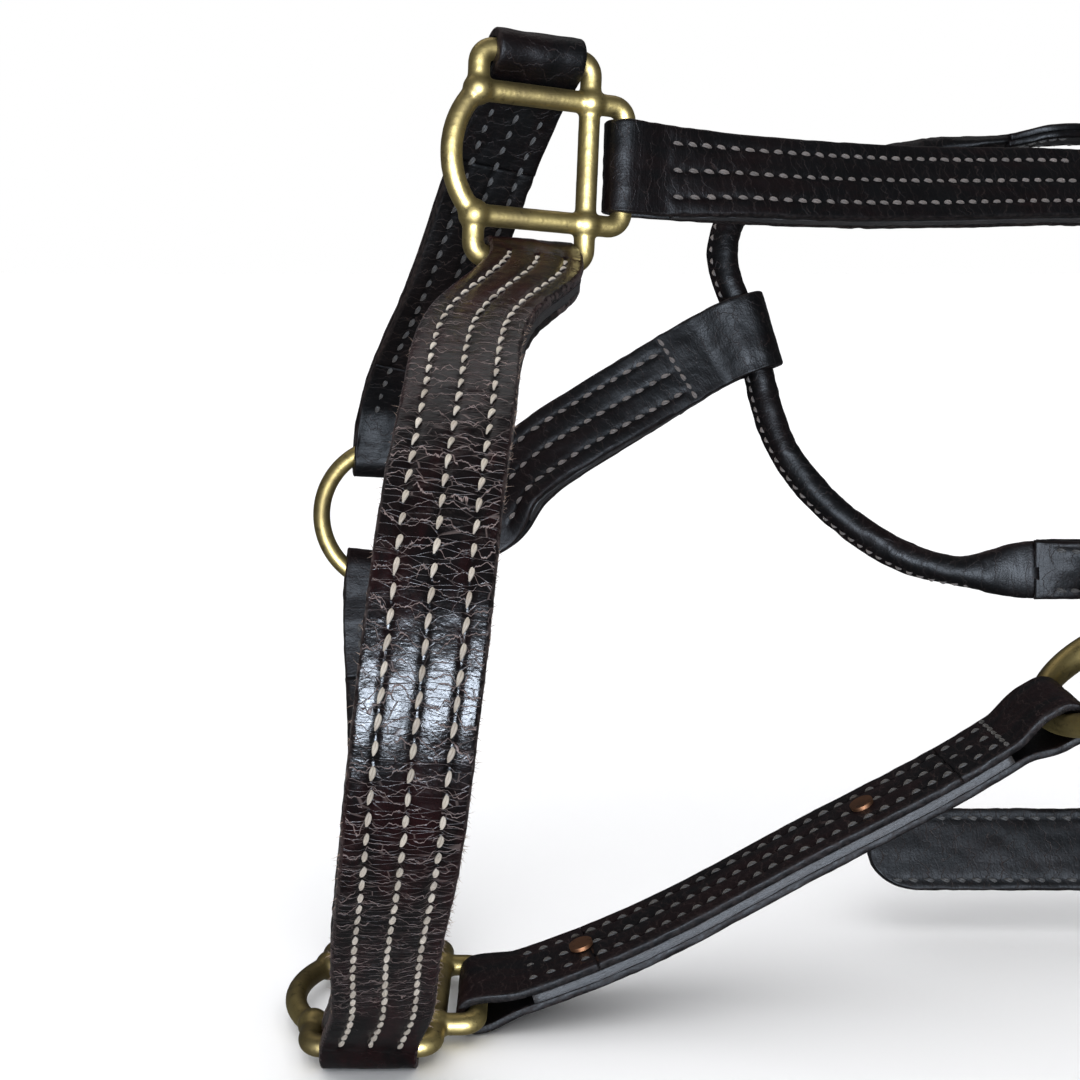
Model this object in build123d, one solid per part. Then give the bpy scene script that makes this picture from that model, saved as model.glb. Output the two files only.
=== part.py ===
"""Leather horse halter (headcollar) with cast brass hardware, lying on its near side."""

import math
import os

from build123d import *

# ---- strap leather -------------------------------------------------------------------
STRAP_WIDTH = 25.4
LAYER = 2.4                 # one thickness of the main straps
CROWN_LAYER = 2.0           # one thickness of the crown strap
PLY_GAP = 0.1               # glue line between two thicknesses
LOOP_CLEARANCE = 0.35       # leather to bar inside an end loop
LOOP_BLEND = 13.0           # length over which an end loop closes to the stitched run
FOLD_BACK = 34.0            # turned-back end behind each loop
LINING_GAP = 0.6            # between a turned-back end and the lining
RUN_STEP = 5.2              # spacing of the sections along a run
BEND_STEP = 2.6             # spacing of the sections beside an end loop
THREE_PLY = LAYER + PLY_GAP                 # ply pitch, so also the outer ply's offset
TWO_PLY = (LAYER + PLY_GAP) / 2
CROWN_PLY = (CROWN_LAYER + PLY_GAP) / 2

# ---- rolled throatlatch --------------------------------------------------------------
ROLL_RADIUS = 4.75
THROAT_WIDTH = 19.0         # flat ends

# ---- halter squares ------------------------------------------------------------------
SQUARE_BAR = 3.0            # bar radius
SQUARE_HALF = 16.5          # centre to bar centre
LOOP_DEPTH = 11.0           # frame bar to loop bar
LOOP_CORNER = 4.0
ARC_BULGE = 7.0
JUNCTION_RADIUS = 4.3       # cast boss where the bars meet
BAR_SETBACK = 3.05          # from a boss's centre to the end of a bar inside it
LOOP_REACH = SQUARE_HALF + LOOP_DEPTH

# ---- rings ---------------------------------------------------------------------------
CHIN_RING_RADIUS = 22.5
CHIN_RING_WIRE = 2.7
CHIN_LOOP_SHIFT = 0.6       # a strap's loop centre, inside the ring's line at the strap's edges
CHEEK_RING_RADIUS = 27.0
CHEEK_RING_WIRE = 3.0       # at the straps
CHEEK_RING_SWELL = 1.3      # extra at the two open sides

# ---- buckle --------------------------------------------------------------------------
BUCKLE_BAR = 2.5
BUCKLE_HALF_WIDTH = 16.6
BUCKLE_LENGTH = 27.0        # heel bar to front bar
BUCKLE_RISE = 5.0           # front bar above the heel bar
TONGUE_RADIUS = 1.6
KEEPER_THICKNESS = 2.2
KEEPER_LENGTH = 10.0
KEEPER_CLEARANCE = 0.8

# ---- throat snap ---------------------------------------------------------------------
HOOK_RADIUS = 8.2
HOOK_WIRE = 2.5
BARREL_RADIUS = 5.0
BOLT_RADIUS = 2.0
BOLT_TRAVEL = 8.0
RUNNING = 0.05
EYE_WIRE = 2.0

# ---- where the halter lies -----------------------------------------------------------
SHIFT = (-181.6, -432.5, -0.05)

OFF_SQUARE_AT = (-2.0, 421.5, 235.8)
OFF_SQUARE_X = (0.92, 0.385, -0.085)
OFF_SQUARE_Y = (0.13, 0.16, 0.978)
NEAR_SQUARE_AT = (-45.0, 387.5, 5.8)
NEAR_SQUARE_X = (1.0, 0.0, 0.0)
NEAR_SQUARE_Y = (0.0, 1.0, 0.0)
CHIN_RING_AT = (-47.7, 475.0, 126.3)
CHIN_RING_X = (0.985, 0.17, -0.02)
CHIN_RING_UP = (-0.05, 0.25, 0.967)
CHIN_STRAP_ANGLES = {"off": 88.0, "connector": -5.0, "near": -98.0}
OFF_RING_BAR = (190.0, 515.0, 229.0)
OFF_RING_OUT = (0.80, 0.585, -0.10)
OFF_RING_ACROSS = (-0.24, 0.47, 0.85)
NEAR_RING_BAR = (143.0, 405.0, 82.0)
NEAR_RING_OUT = (0.87, 0.0, 0.5)
NEAR_RING_ACROSS = (0.0, 1.0, 0.0)
SNAP_ANGLE = 128.0          # round the near ring from the cheek strap
SNAP_AXIS = (0.716, 0.573, 0.401)
SNAP_LENGTH = 48.0
BUCKLE_AT = (285.0, 438.5, 27.5)
BUCKLE_X = (1.0, 0.0, 0.0)
BUCKLE_W = (0.0, 0.45, 0.893)


# ---- small vector helpers ------------------------------------------------------------
def vec(p):
    return Vector(*p)


def unit(v):
    return v * (1.0 / v.length)


def square_up(v, against):
    """v made perpendicular to the unit vector against."""
    return unit(v - against * v.dot(against))


def mix(a, b, t):
    return a * (1.0 - t) + b * t


def ease(t):
    t = min(1.0, max(0.0, t))
    return 0.5 - 0.5 * math.cos(math.pi * t)


def frame(at, x, y):
    """Right-handed frame: origin, x, y and the normal x cross y."""
    ex = unit(vec(x))
    ey = square_up(vec(y), ex)
    return vec(at), ex, ey, ex.cross(ey)


def placed(shape, fr):
    origin, ex, _, normal = fr
    return Plane(origin=origin, x_dir=ex, z_dir=normal).location * shape


# ---- spine of a strap ----------------------------------------------------------------
class Spine:
    """Smooth centre line with a width direction, read by arc length."""

    SAMPLES = 40

    def __init__(self, points, start, end, widths):
        self.points = [vec(p) for p in points]
        self.widths = [unit(vec(w)) for w in widths]
        self.slopes = self.solve(unit(vec(start)), unit(vec(end)))
        self.table = self.measure()
        self.length = self.table[-1][0]

    def solve(self, start, end):
        pts = self.points
        gaps = [(b - a).length for a, b in zip(pts, pts[1:])]
        self.gaps = gaps
        last = len(pts) - 1
        ratio = [0.0] * (last + 1)
        value = [start] + [None] * last
        for i in range(1, last):
            h0, h1 = gaps[i - 1], gaps[i]
            rise = (pts[i] - pts[i - 1]) * (3.0 * h1 / h0)
            rise += (pts[i + 1] - pts[i]) * (3.0 * h0 / h1)
            pivot = 2.0 * (h0 + h1) - h1 * ratio[i - 1]
            ratio[i] = h0 / pivot
            value[i] = (rise - value[i - 1] * h1) * (1.0 / pivot)
        value[last] = end
        for i in range(last - 1, 0, -1):
            value[i] = value[i] - value[i + 1] * ratio[i]
        return value

    def point(self, i, t):
        h = self.gaps[i]
        t2, t3 = t * t, t * t * t
        p = self.points[i] * (2 * t3 - 3 * t2 + 1) + self.points[i + 1] * (3 * t2 - 2 * t3)
        return p + self.slopes[i] * (h * (t3 - 2 * t2 + t)) + self.slopes[i + 1] * (h * (t3 - t2))

    def tangent(self, i, t):
        h = self.gaps[i]
        d = (self.points[i + 1] - self.points[i]) * ((6 * t - 6 * t * t) / h)
        d += self.slopes[i] * (3 * t * t - 4 * t + 1) + self.slopes[i + 1] * (3 * t * t - 2 * t)
        return unit(d)

    def measure(self):
        table = [(0.0, 0, 0.0)]
        before = self.points[0]
        run = 0.0
        for i in range(len(self.gaps)):
            for k in range(1, self.SAMPLES + 1):
                t = k / self.SAMPLES
                here = self.point(i, t)
                run += (here - before).length
                before = here
                table.append((run, i, t))
        return table

    def locate(self, s):
        s = min(max(s, 0.0), self.length)
        low, high = 0, len(self.table) - 1
        while high - low > 1:
            middle = (low + high) // 2
            if self.table[middle][0] <= s:
                low = middle
            else:
                high = middle
        s0, _, t0 = self.table[low]
        s1, i, t1 = self.table[high]
        if t0 == 1.0:
            t0 = 0.0
        return i, t0 + (t1 - t0) * (s - s0) / max(s1 - s0, 1e-9)

    def at(self, s):
        """Point, tangent, width direction and normal at arc length s."""
        i, t = self.locate(s)
        along = self.tangent(i, t)
        width = square_up(mix(self.widths[i], self.widths[i + 1], ease(t)), along)
        return self.point(i, t), along, width, along.cross(width)


# ---- strips of leather ---------------------------------------------------------------
def strip(stations, width, thickness):
    """One ply lofted along stations of (point, width direction)."""
    wires = []
    last = len(stations) - 1
    for k, (p, across) in enumerate(stations):
        ahead = stations[min(k + 1, last)][0] - stations[max(k - 1, 0)][0]
        along = square_up(ahead, across)
        out = along.cross(across) * (thickness / 2)
        side = across * (width / 2)
        corners = [p - side - out, p + side - out, p + side + out, p - side + out]
        wires.append(Wire.make_polygon(corners, close=True))
    solid = Solid.make_loft(wires, ruled=True)
    return solid if solid.volume > 0 else Solid.make_loft(wires[::-1], ruled=True)


def spread(a, b, step):
    """Evenly spaced values from a to b, both included."""
    count = max(2, math.ceil(abs(b - a) / step) + 1)
    return [a + (b - a) * k / (count - 1) for k in range(count)]


def opening(s, offset, loop):
    """Distance from the spine to a ply at s from an end loop's centre."""
    if loop is None:
        return offset
    radius, hold = loop
    return mix(radius, offset, ease((s - hold) / LOOP_BLEND))


def run_offset(spine, s, offset, loops):
    return max(abs(opening(s, offset, loops[0])), abs(opening(spine.length - s, offset, loops[1])))


def run(spine, places, side, offset, loops):
    """Stations of a ply on one side of the spine."""
    stations = []
    for s in places:
        p, _, across, normal = spine.at(s)
        stations.append((p + normal * (side * run_offset(spine, s, offset, loops)), across))
    return stations


def turn(spine, at_end, side, radius):
    """Half circle of a ply round a bar, from the far side back to the face side."""
    p, along, across, normal = spine.at(spine.length if at_end else 0.0)
    away = along if at_end else along * -1.0
    angles = [30.0 * k for k in range(1, 6)]
    stations = []
    for angle in angles:
        a = math.radians(angle)
        stations.append((p + (normal * (side * math.cos(a)) + away * math.sin(a)) * radius, across))
    return stations


def face_ply(spine, side, offset, loops, thickness=LAYER, width=STRAP_WIDTH, fold=FOLD_BACK, step=RUN_STEP):
    """The outer ply: full length, round both bars, with turned-back ends."""
    stations = []
    close = LOOP_BLEND + 3.0
    total = spine.length
    if loops[0]:
        back = spread(fold, close, step)[:-1] + spread(close, 0.0, BEND_STEP)
        stations += run(spine, back, -side, offset, loops)
        stations += list(reversed(turn(spine, False, side, loops[0][0])))
        stations += run(spine, spread(0.0, close, BEND_STEP), side, offset, loops)
        begin = close
    else:
        stations += run(spine, [0.0], side, offset, loops)
        begin = 0.0
    finish = total - close if loops[1] else total
    stations += run(spine, spread(begin, finish, step)[1:], side, offset, loops)
    if loops[1]:
        stations += run(spine, spread(finish, total, BEND_STEP)[1:], side, offset, loops)
        stations += turn(spine, True, side, loops[1][0])
        back = spread(total, finish, BEND_STEP) + spread(finish, total - fold, step)[1:]
        stations += run(spine, back, -side, offset, loops)
    return strip(stations, width, thickness)


def inner_ply(spine, side, offset, begin, end, thickness=LAYER, width=STRAP_WIDTH, step=RUN_STEP):
    """A filler or lining between two places on the spine."""
    stations = run(spine, spread(begin, end, step), side, offset, (None, None))
    return strip(stations, width, thickness)


def bar_loop(bar_radius, thickness=LAYER, hold=0.0, clearance=LOOP_CLEARANCE):
    return (bar_radius + clearance + thickness / 2, hold)


def ring_sag(ring_radius, width=STRAP_WIDTH):
    """How far a ring curves away inside a strap's width."""
    return ring_radius - math.sqrt(ring_radius ** 2 - (width / 2) ** 2)


# ---- bars and rings ------------------------------------------------------------------
def swept_bar(path, radius):
    start = path @ 0
    profile = Plane(origin=start, z_dir=path % 0) * Circle(radius)
    return sweep(profile, path=path, transition=Transition.ROUND)


def rounded_u(ax, ay, bx, by, depth, corner, setback=0.0):
    """U-shaped path from a to b, bulging by depth to the left of a->b."""
    a, b = Vector(ax, ay), Vector(bx, by)
    along = unit(b - a)
    left = Vector(-along.Y, along.X)
    line = Polyline(a + left * setback, a + left * depth, b + left * depth, b + left * setback)
    ends = line.vertices().sort_by_distance(a + left * depth)[0:1]
    ends += line.vertices().sort_by_distance(b + left * depth)[0:1]
    return fillet(ends, corner)


def halter_square():
    """Cast square: three strap loops on a frame whose fourth side is an arc."""
    h = SQUARE_HALF
    corners = [Vector(-h, h), Vector(h, h), Vector(h, -h), Vector(-h, -h)]
    bars = []
    for a, b in zip(corners[:3], corners[1:]):
        along = unit(b - a)
        bars.append(swept_bar(Line(a + along * BAR_SETBACK, b - along * BAR_SETBACK), SQUARE_BAR))
        loop = rounded_u(a.X, a.Y, b.X, b.Y, LOOP_DEPTH, LOOP_CORNER, BAR_SETBACK)
        bars.append(swept_bar(loop, SQUARE_BAR))
    arc_radius = (h * h + ARC_BULGE * ARC_BULGE) / (2 * ARC_BULGE)
    half_angle = math.asin(h / arc_radius) - BAR_SETBACK / arc_radius
    centre = arc_radius - h - ARC_BULGE
    tip = (centre - arc_radius * math.cos(half_angle), arc_radius * math.sin(half_angle))
    arc = ThreePointArc((tip[0], -tip[1]), (-h - ARC_BULGE, 0), tip)
    bars.append(swept_bar(arc, SQUARE_BAR))
    boss = Rot(0, 0, 45) * Sphere(JUNCTION_RADIUS)
    body = Pos(*corners[0]) * boss
    for corner in corners[1:]:
        body += Pos(*corner) * boss
    for bar in bars:
        body += bar
    return body


def round_ring(radius, wire):
    return Torus(radius, wire)


def swelled_ring():
    """Cheek ring, thicker half way between its two straps."""
    halves = []
    for start in (0, 180):
        wires = []
        for k in range(13):
            angle = start + 15.0 * k
            a = math.radians(angle)
            wire_radius = CHEEK_RING_WIRE + CHEEK_RING_SWELL * math.sin(a) ** 2
            spot = Vector(-math.cos(a), math.sin(a)) * CHEEK_RING_RADIUS
            heading = Vector(math.sin(a), math.cos(a))
            plane = Plane(origin=spot, x_dir=(0, 0, 1), z_dir=heading)
            wires.append(Wire.make_circle(wire_radius, plane))
        halves.append(Solid.make_loft(wires))
    return halves[0] + halves[1]


def ring_point(fr, radius, angle):
    """Point on a ring's centre line and the outward direction there, by angle from x."""
    a = math.radians(angle)
    out = fr[1] * math.cos(a) + fr[2] * math.sin(a)
    return fr[0] + out * radius, out


def cheek_ring_frame(bar, out, across):
    """Ring frame whose -x point is where the cheek strap holds it."""
    fr = frame(bar, out, across)
    return (fr[0] + fr[1] * CHEEK_RING_RADIUS, fr[1], fr[2], fr[3])


OFF = frame(OFF_SQUARE_AT, OFF_SQUARE_X, OFF_SQUARE_Y)
NEAR = frame(NEAR_SQUARE_AT, NEAR_SQUARE_X, NEAR_SQUARE_Y)
CHIN = frame(CHIN_RING_AT, CHIN_RING_X, CHIN_RING_UP)
OFF_RING = cheek_ring_frame(OFF_RING_BAR, OFF_RING_OUT, OFF_RING_ACROSS)
NEAR_RING = cheek_ring_frame(NEAR_RING_BAR, NEAR_RING_OUT, NEAR_RING_ACROSS)
BUCKLE = frame(BUCKLE_AT, BUCKLE_X, BUCKLE_W)
BAR_LOOP = bar_loop(SQUARE_BAR)


def loop_bar(square, side):
    """Centre of one of a square's loop bars: side is x, y in the square's frame."""
    return square[0] + (square[1] * side[0] + square[2] * side[1]) * LOOP_REACH


# ---- the straps' centre lines --------------------------------------------------------
def noseband_spine():
    points = [loop_bar(OFF, (0, -1)), (-13.7, 369, 195.4), (-17.8, 332.5, 180.1)]
    points += [(-20.2, 307.4, 162.2), (-22.6, 292.5, 140.3), (-24.5, 287.9, 124.9)]
    points += [(-27.3, 288.4, 103.5), (-31, 300.3, 80.4), (-36.5, 324.7, 49)]
    points += [(-40.5, 345, 24), loop_bar(NEAR, (0, -1))]
    widths = [OFF[1]] + [(1, 0.1, 0)] * 9 + [NEAR[1]]
    start = OFF[3] * 0.95 - OFF[2] * 0.3
    return Spine(points, start, (0, 0.6, -0.8), widths)


def off_cheek_spine():
    end = OFF_RING[0] - OFF_RING[1] * (CHEEK_RING_RADIUS - ring_sag(CHEEK_RING_RADIUS))
    points = [loop_bar(OFF, (1, 0)), (61, 448.3, 230.7), (143.3, 490.6, 229.6), end]
    widths = [OFF[2], (-0.15, 0.40, 0.90), OFF_RING[2], OFF_RING[2]]
    return Spine(points, OFF[1], OFF_RING[1], widths)


def near_cheek_spine():
    end = NEAR_RING[0] - NEAR_RING[1] * (CHEEK_RING_RADIUS - ring_sag(CHEEK_RING_RADIUS))
    points = [loop_bar(NEAR, (1, 0)), (44, 397, 27), (74, 400, 43), (125, 404, 70.5), end]
    return Spine(points, (0.96, 0, 0.27), NEAR_RING[1], [(0, 1, 0)] * 5)


def chin_strap_end(which):
    """Centre of a strap's loop on the chin ring, and the way out of the ring there."""
    inside = ring_sag(CHIN_RING_RADIUS) + CHIN_LOOP_SHIFT
    return ring_point(CHIN, CHIN_RING_RADIUS - inside, CHIN_STRAP_ANGLES[which])


def off_chin_spine():
    end, out = chin_strap_end("off")
    start = square_up(vec((-0.35, 0.463, -0.81)), OFF[1])
    points = [loop_bar(OFF, (0, 1)), (-9.8, 435.5, 243), (-28.2, 455.9, 197.3), (-43.5, 475.5, 164), end]
    widths = [OFF[1], (0.83, 0.45, -0.25), (0.88, 0.40, -0.2), (0.97, 0.2, -0.1), out.cross(CHIN[3]) * 1.0]
    return Spine(points, start, out * -1.0, widths)


def near_chin_spine():
    start, out = chin_strap_end("near")
    points = [start, (-49, 458, 75), (-46.5, 437, 40), loop_bar(NEAR, (0, 1))]
    widths = [out.cross(CHIN[3]) * -1.0, (1, 0.05, 0), (1, 0, 0), NEAR[1]]
    return Spine(points, out, (0, -0.55, -0.835), widths)


THROAT_AT_LOOP = (69.7, 503.0, 182.0)
THROAT_HEADING = (0.283, -0.20, -0.938)


def connector_spine():
    start, out = chin_strap_end("connector")
    roll = unit(vec(THROAT_HEADING))
    points = [start, start + out * 9, (-8, 483, 136), (11.5, 488.6, 151), (46, 497.8, 171), THROAT_AT_LOOP]
    in_ring = out.cross(CHIN[3]) * -1.0
    widths = [in_ring, in_ring, (0, 0.55, 0.82), (-0.1, 0.50, 0.85), (-0.22, 0.3, 0.93), roll * -1.0]
    return Spine(points, out, square_up(vec((0.93, 0.13, 0.34)), roll), widths)


def crown_spine():
    start = OFF_RING[0] + OFF_RING[1] * (CHEEK_RING_RADIUS - ring_sag(CHEEK_RING_RADIUS))
    origin, along, across, inward = BUCKLE
    over_heel = origin - inward * CROWN_OVER_HEEL
    points = [start, (275, 566, 221), (345, 568, 204), (405, 556, 160), (432, 545, 100)]
    points += [(424, 532, 45), (394, 530, 12.9), (362, 519, 8.1), (334, 486, 17.5)]
    points += [origin + along * BUCKLE_LENGTH - inward * CROWN_UNDER_FRONT, over_heel]
    points += [over_heel - along * d for d in (14, 40, 90, 181)]
    widths = [OFF_RING[2], (-0.1, 0.70, 0.7), (0, 0.95, 0.3), (0, 1, 0), (0, 1, 0)]
    widths += [(0.2, 0.98, 0), (0.25, 0.95, 0.1), (0, 0.9, 0.4), (0, 0.65, 0.75)]
    widths += [across] * 6
    return Spine(points, OFF_RING[1], along * -1.0, widths)


CROWN_OVER_HEEL = 8.2       # billet's centre above the heel bar
CROWN_UNDER_FRONT = -0.3    # and beside the front bar


def chape_spine():
    origin, along, across, _ = BUCKLE
    start = NEAR_RING[0] + NEAR_RING[1] * (CHEEK_RING_RADIUS - CHAPE_RING_SHIFT)
    points = [start, (202, 411, 81), (217, 427, 49)]
    points += [origin - along * d for d in (49, 32, 15, 0)]
    widths = [(0, 1, 0), (0, 0.98, 0.2), (0, 0.75, 0.66)] + [across] * 4
    return Spine(points, (0.55, 0, -0.83), along, widths)


CHAPE_RING_SHIFT = 1.6
CHAPE_RING_LOOP = (6.9, 2.2)
THROAT_RING_SHIFT = 0.9
THROAT_RING_LOOP = (6.8, 1.0)
CONNECTOR_ROLL_LOOP = (6.9, 4.0)
CHEEK_RING_LOOP = (CHEEK_RING_WIRE + 0.7 + LOOP_CLEARANCE + LAYER / 2, 3.8)
CHIN_RING_LOOP = bar_loop(CHIN_RING_WIRE + 0.5, hold=5.4)
SNAP_EYE_LOOP = bar_loop(EYE_WIRE, hold=0.0)
HEEL_LOOP = bar_loop(BUCKLE_BAR)


def throat_off_spine():
    start = OFF_RING[0] + OFF_RING[2] * (CHEEK_RING_RADIUS - THROAT_RING_SHIFT)
    points = [start, (187, 560, 249.5), (166, 562.5, 247)]
    heading = square_up(vec((-0.585, 0.80, 0.0)), OFF_RING[1])
    return Spine(points, heading, (-0.98, -0.15, -0.10), [OFF_RING[1], (0.3, 0.95, -0.1), (0, 1, 0)])


def throat_spine():
    points = [(165.6, 562.4, 246.9), (118, 549, 240), (82, 527, 230), (63.5, 513, 218)]
    points += [(61.3, 509, 209), THROAT_AT_LOOP, (78.5, 493, 150), (105, 482, 120)]
    points += [(130, 474.5, 109), (158, 469.4, 109.5)]
    widths = [(0, 1, 0), (0.3, 0.9, -0.3), (0.5, 0.6, -0.6), (0.9, 0.1, -0.1), (0.96, 0.1, 0.2)]
    widths += [(0.94, 0.1, 0.3), (0.9, 0.1, 0.4), (0.6, 0.1, 0.8), (0.2, 0.1, 0.97), (0, 0.1, 0.99)]
    return Spine(points, (-0.98, -0.15, -0.10), (0.97, -0.2, 0.1), widths)


def snap_frame():
    """Snap frame: origin where the bolt axis meets the hook, x to the eye, z along the ring bar."""
    bar, out = ring_point(NEAR_RING, CHEEK_RING_RADIUS, 180.0 - SNAP_ANGLE)
    tangent = out.cross(NEAR_RING[3])
    axis = square_up(vec(SNAP_AXIS), tangent)
    up = tangent.cross(axis)
    if up.Z < 0:
        up = up * -1.0
    return (bar - up * HOOK_RADIUS, axis, up, axis.cross(up))


SNAP = snap_frame()
EYE_LEVEL = square_up(vec((0, 0, 1)), SNAP[1])
EYE = (SNAP[0], SNAP[1], EYE_LEVEL, SNAP[1].cross(EYE_LEVEL))


def throat_near_spine():
    origin, axis, up, _ = EYE
    end = origin + axis * SNAP_LENGTH
    points = [(158.5, 469.3, 109.6), (184, 465.8, 110.5), end]
    widths = [(0, 0.1, 0.99), up, up]
    return Spine(points, (0.97, -0.2, 0.05), square_up(vec((0.99, -0.1, 0.0)), up), widths)


# ---- solids of the straps ------------------------------------------------------------
def three_ply(spine, side, loops):
    """Outer ply, filler and lining of a main strap."""
    clear = [loop[1] + LOOP_BLEND + 2.0 for loop in loops]
    face = face_ply(spine, side, THREE_PLY, loops)
    filler = inner_ply(spine, side, 0.0, clear[0], spine.length - clear[1])
    begin, end = FOLD_BACK + LINING_GAP, spine.length - FOLD_BACK - LINING_GAP
    lining = inner_ply(spine, -side, THREE_PLY, begin, end)
    return face, filler, lining


def two_ply(spine, side, loops, fold=FOLD_BACK, step=RUN_STEP):
    """Outer ply and lining of a light strap."""
    face = face_ply(spine, side, TWO_PLY, loops, fold=fold, step=step)
    begin, end = fold + LINING_GAP, spine.length - fold - LINING_GAP
    lining = inner_ply(spine, -side, TWO_PLY, begin, end, step=step)
    return face, lining


def stud(spine, s, radius, half_length):
    p, _, across, normal = spine.at(s)
    plane = Plane(origin=p - normal * half_length, x_dir=across, z_dir=normal)
    return plane.location * Cylinder(radius, 2 * half_length, align=(Align.CENTER, Align.CENTER, Align.MIN))


RIVET_PLACES = (32.0, 122.0)
RIVET_RADIUS = 1.5
RIVET_HEAD = 3.4
RIVET_HEAD_HEIGHT = 1.1
RIVET_GRIP = 3.95           # centre line to the underside of a rivet head


def rivets(spine, side):
    """Rivets through the lining and the filler, with their heads on the lining."""
    group = []
    for s in RIVET_PLACES:
        p, _, across, normal = spine.at(s)
        seat = Plane(origin=p - normal * (side * RIVET_GRIP), x_dir=across, z_dir=normal * -side)
        head = Cylinder(RIVET_HEAD, RIVET_HEAD_HEIGHT, align=(Align.CENTER, Align.CENTER, Align.MIN))
        length = RIVET_GRIP + LAYER / 2
        shank = Cylinder(RIVET_RADIUS, length, align=(Align.CENTER, Align.CENTER, Align.MAX))
        group.append(seat.location * (head + shank))
    return Compound(children=group)


def punched(ply, spine, places, radius):
    for s in places:
        ply = ply - stud(spine, s, radius, 8.0)
    return ply


def punched_fold(face, spine, side, radius):
    """Rivet holes through the turned-back end of the face ply only."""
    for s in RIVET_PLACES:
        p, _, across, normal = spine.at(s)
        plane = Plane(origin=p, x_dir=across, z_dir=normal * -side)
        cutter = Cylinder(radius, 8.0, align=(Align.CENTER, Align.CENTER, Align.MIN))
        face = face - plane.location * cutter
    return face


BILLET_HOLE_PITCH = 25.4
BILLET_HOLES = 4
BILLET_HOLE_RADIUS = 2.2
TONGUE_SLOT = (17.5, 4.6)
TONGUE_SLOT_AT = 7.75       # along the buckle from the heel bar


def billet_cutters():
    """Tongue slot and spare holes through the crown's tail."""
    origin, along, across, inward = BUCKLE
    cutters = []
    middle = origin + along * TONGUE_SLOT_AT - inward * 5.0
    slot = SlotOverall(TONGUE_SLOT[0], TONGUE_SLOT[1])
    plane = Plane(origin=middle - inward * 9.0, x_dir=along, z_dir=inward)
    cutters.append(extrude(plane * slot, 18.0))
    for k in range(1, BILLET_HOLES + 1):
        spot = origin - along * (k * BILLET_HOLE_PITCH - TONGUE_SLOT_AT)
        plane = Plane(origin=spot - inward * 14.0, x_dir=along, z_dir=inward)
        hole = Cylinder(BILLET_HOLE_RADIUS, 12.0, align=(Align.CENTER, Align.CENTER, Align.MIN))
        cutters.append(plane.location * hole)
    return cutters


def crown_tip_cutter():
    """Rounds the tail's end to half the strap's width."""
    origin, along, across, inward = BUCKLE
    end = origin - along * 181 - inward * CROWN_OVER_HEEL
    centre = end + along * (STRAP_WIDTH * 0.62)
    plane = Plane(origin=centre - inward * 6.0, x_dir=along, z_dir=inward)
    block = Pos(-STRAP_WIDTH / 2, 0) * Rectangle(STRAP_WIDTH, 2 * STRAP_WIDTH)
    nose = Ellipse(STRAP_WIDTH * 0.62, STRAP_WIDTH / 2 + 0.02)
    return extrude(plane * (block - nose), 12.0)


def crown():
    spine = crown_spine()
    loops = (bar_loop(CHEEK_RING_WIRE + 0.7, CROWN_LAYER, hold=3.8), None)
    outer = face_ply(spine, 1, CROWN_PLY, loops, CROWN_LAYER, step=BEND_STEP)
    begin = FOLD_BACK + LINING_GAP
    lining = inner_ply(spine, -1, CROWN_PLY, begin, spine.length, CROWN_LAYER, step=BEND_STEP)
    cutters = billet_cutters() + [crown_tip_cutter()]
    return outer.cut(*cutters), lining.cut(*cutters)


def chape():
    spine = chape_spine()
    outer, lining = two_ply(spine, -1, (CHAPE_RING_LOOP, HEEL_LOOP), step=BEND_STEP)
    slot = placed(Pos(1.0, 0, 0) * Box(18.0, 4.6, 14.0), BUCKLE)
    return outer - slot, lining


# ---- buckle and keepers --------------------------------------------------------------
def buckle_frame():
    tilt = math.degrees(math.atan2(BUCKLE_RISE, BUCKLE_LENGTH))
    reach = math.hypot(BUCKLE_RISE, BUCKLE_LENGTH)
    w = BUCKLE_HALF_WIDTH
    hoop = Rot(0, tilt, 0) * swept_bar(rounded_u(0, w, 0, -w, reach, 6.0), BUCKLE_BAR)
    heel = swept_bar(Line((0, -w), (0, w)), BUCKLE_BAR)
    body = hoop + heel
    for y in (-w, w):
        body += Pos(0, y, 0) * Rot(0, 0, 180) * Sphere(BUCKLE_BAR + 0.3)
    return placed(body, BUCKLE)


TONGUE_EYE_RADIUS = 4.6
TONGUE_EYE_WIDTH = 4.0
TONGUE_REST = 9.4           # tongue's centre line over the front bar


def buckle_tongue():
    eye = Rot(90, 0, 0) * Cylinder(TONGUE_EYE_RADIUS, TONGUE_EYE_WIDTH)
    start = (2.4, 0, -3.3)
    end = (BUCKLE_LENGTH + 2.0, 0, -TONGUE_REST - 0.4)
    prong = swept_bar(Line(start, end), TONGUE_RADIUS)
    body = eye + prong + Pos(*end) * Sphere(TONGUE_RADIUS)
    bore = Rot(90, 0, 0) * Cylinder(BUCKLE_BAR + RUNNING, 2 * TONGUE_EYE_WIDTH)
    return placed(body - bore, BUCKLE)


FIXED_KEEPER_AT = -17.0
SLIDING_KEEPER_AT = -34.0


def keeper(at):
    """Leather band round the chape and the billet."""
    low = TWO_PLY + LAYER / 2 + KEEPER_CLEARANCE
    high = CROWN_OVER_HEEL + CROWN_PLY + CROWN_LAYER / 2 + KEEPER_CLEARANCE
    half = STRAP_WIDTH / 2 + KEEPER_CLEARANCE
    inner = Box(2 * KEEPER_LENGTH, 2 * half, low + high)
    t = KEEPER_THICKNESS
    outer = Box(KEEPER_LENGTH, 2 * half + 2 * t, low + high + 2 * t)
    outer = fillet(outer.edges().filter_by(Axis.X), t)
    return placed(Pos(at, 0, (low - high) / 2) * (outer - inner), BUCKLE)


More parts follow.
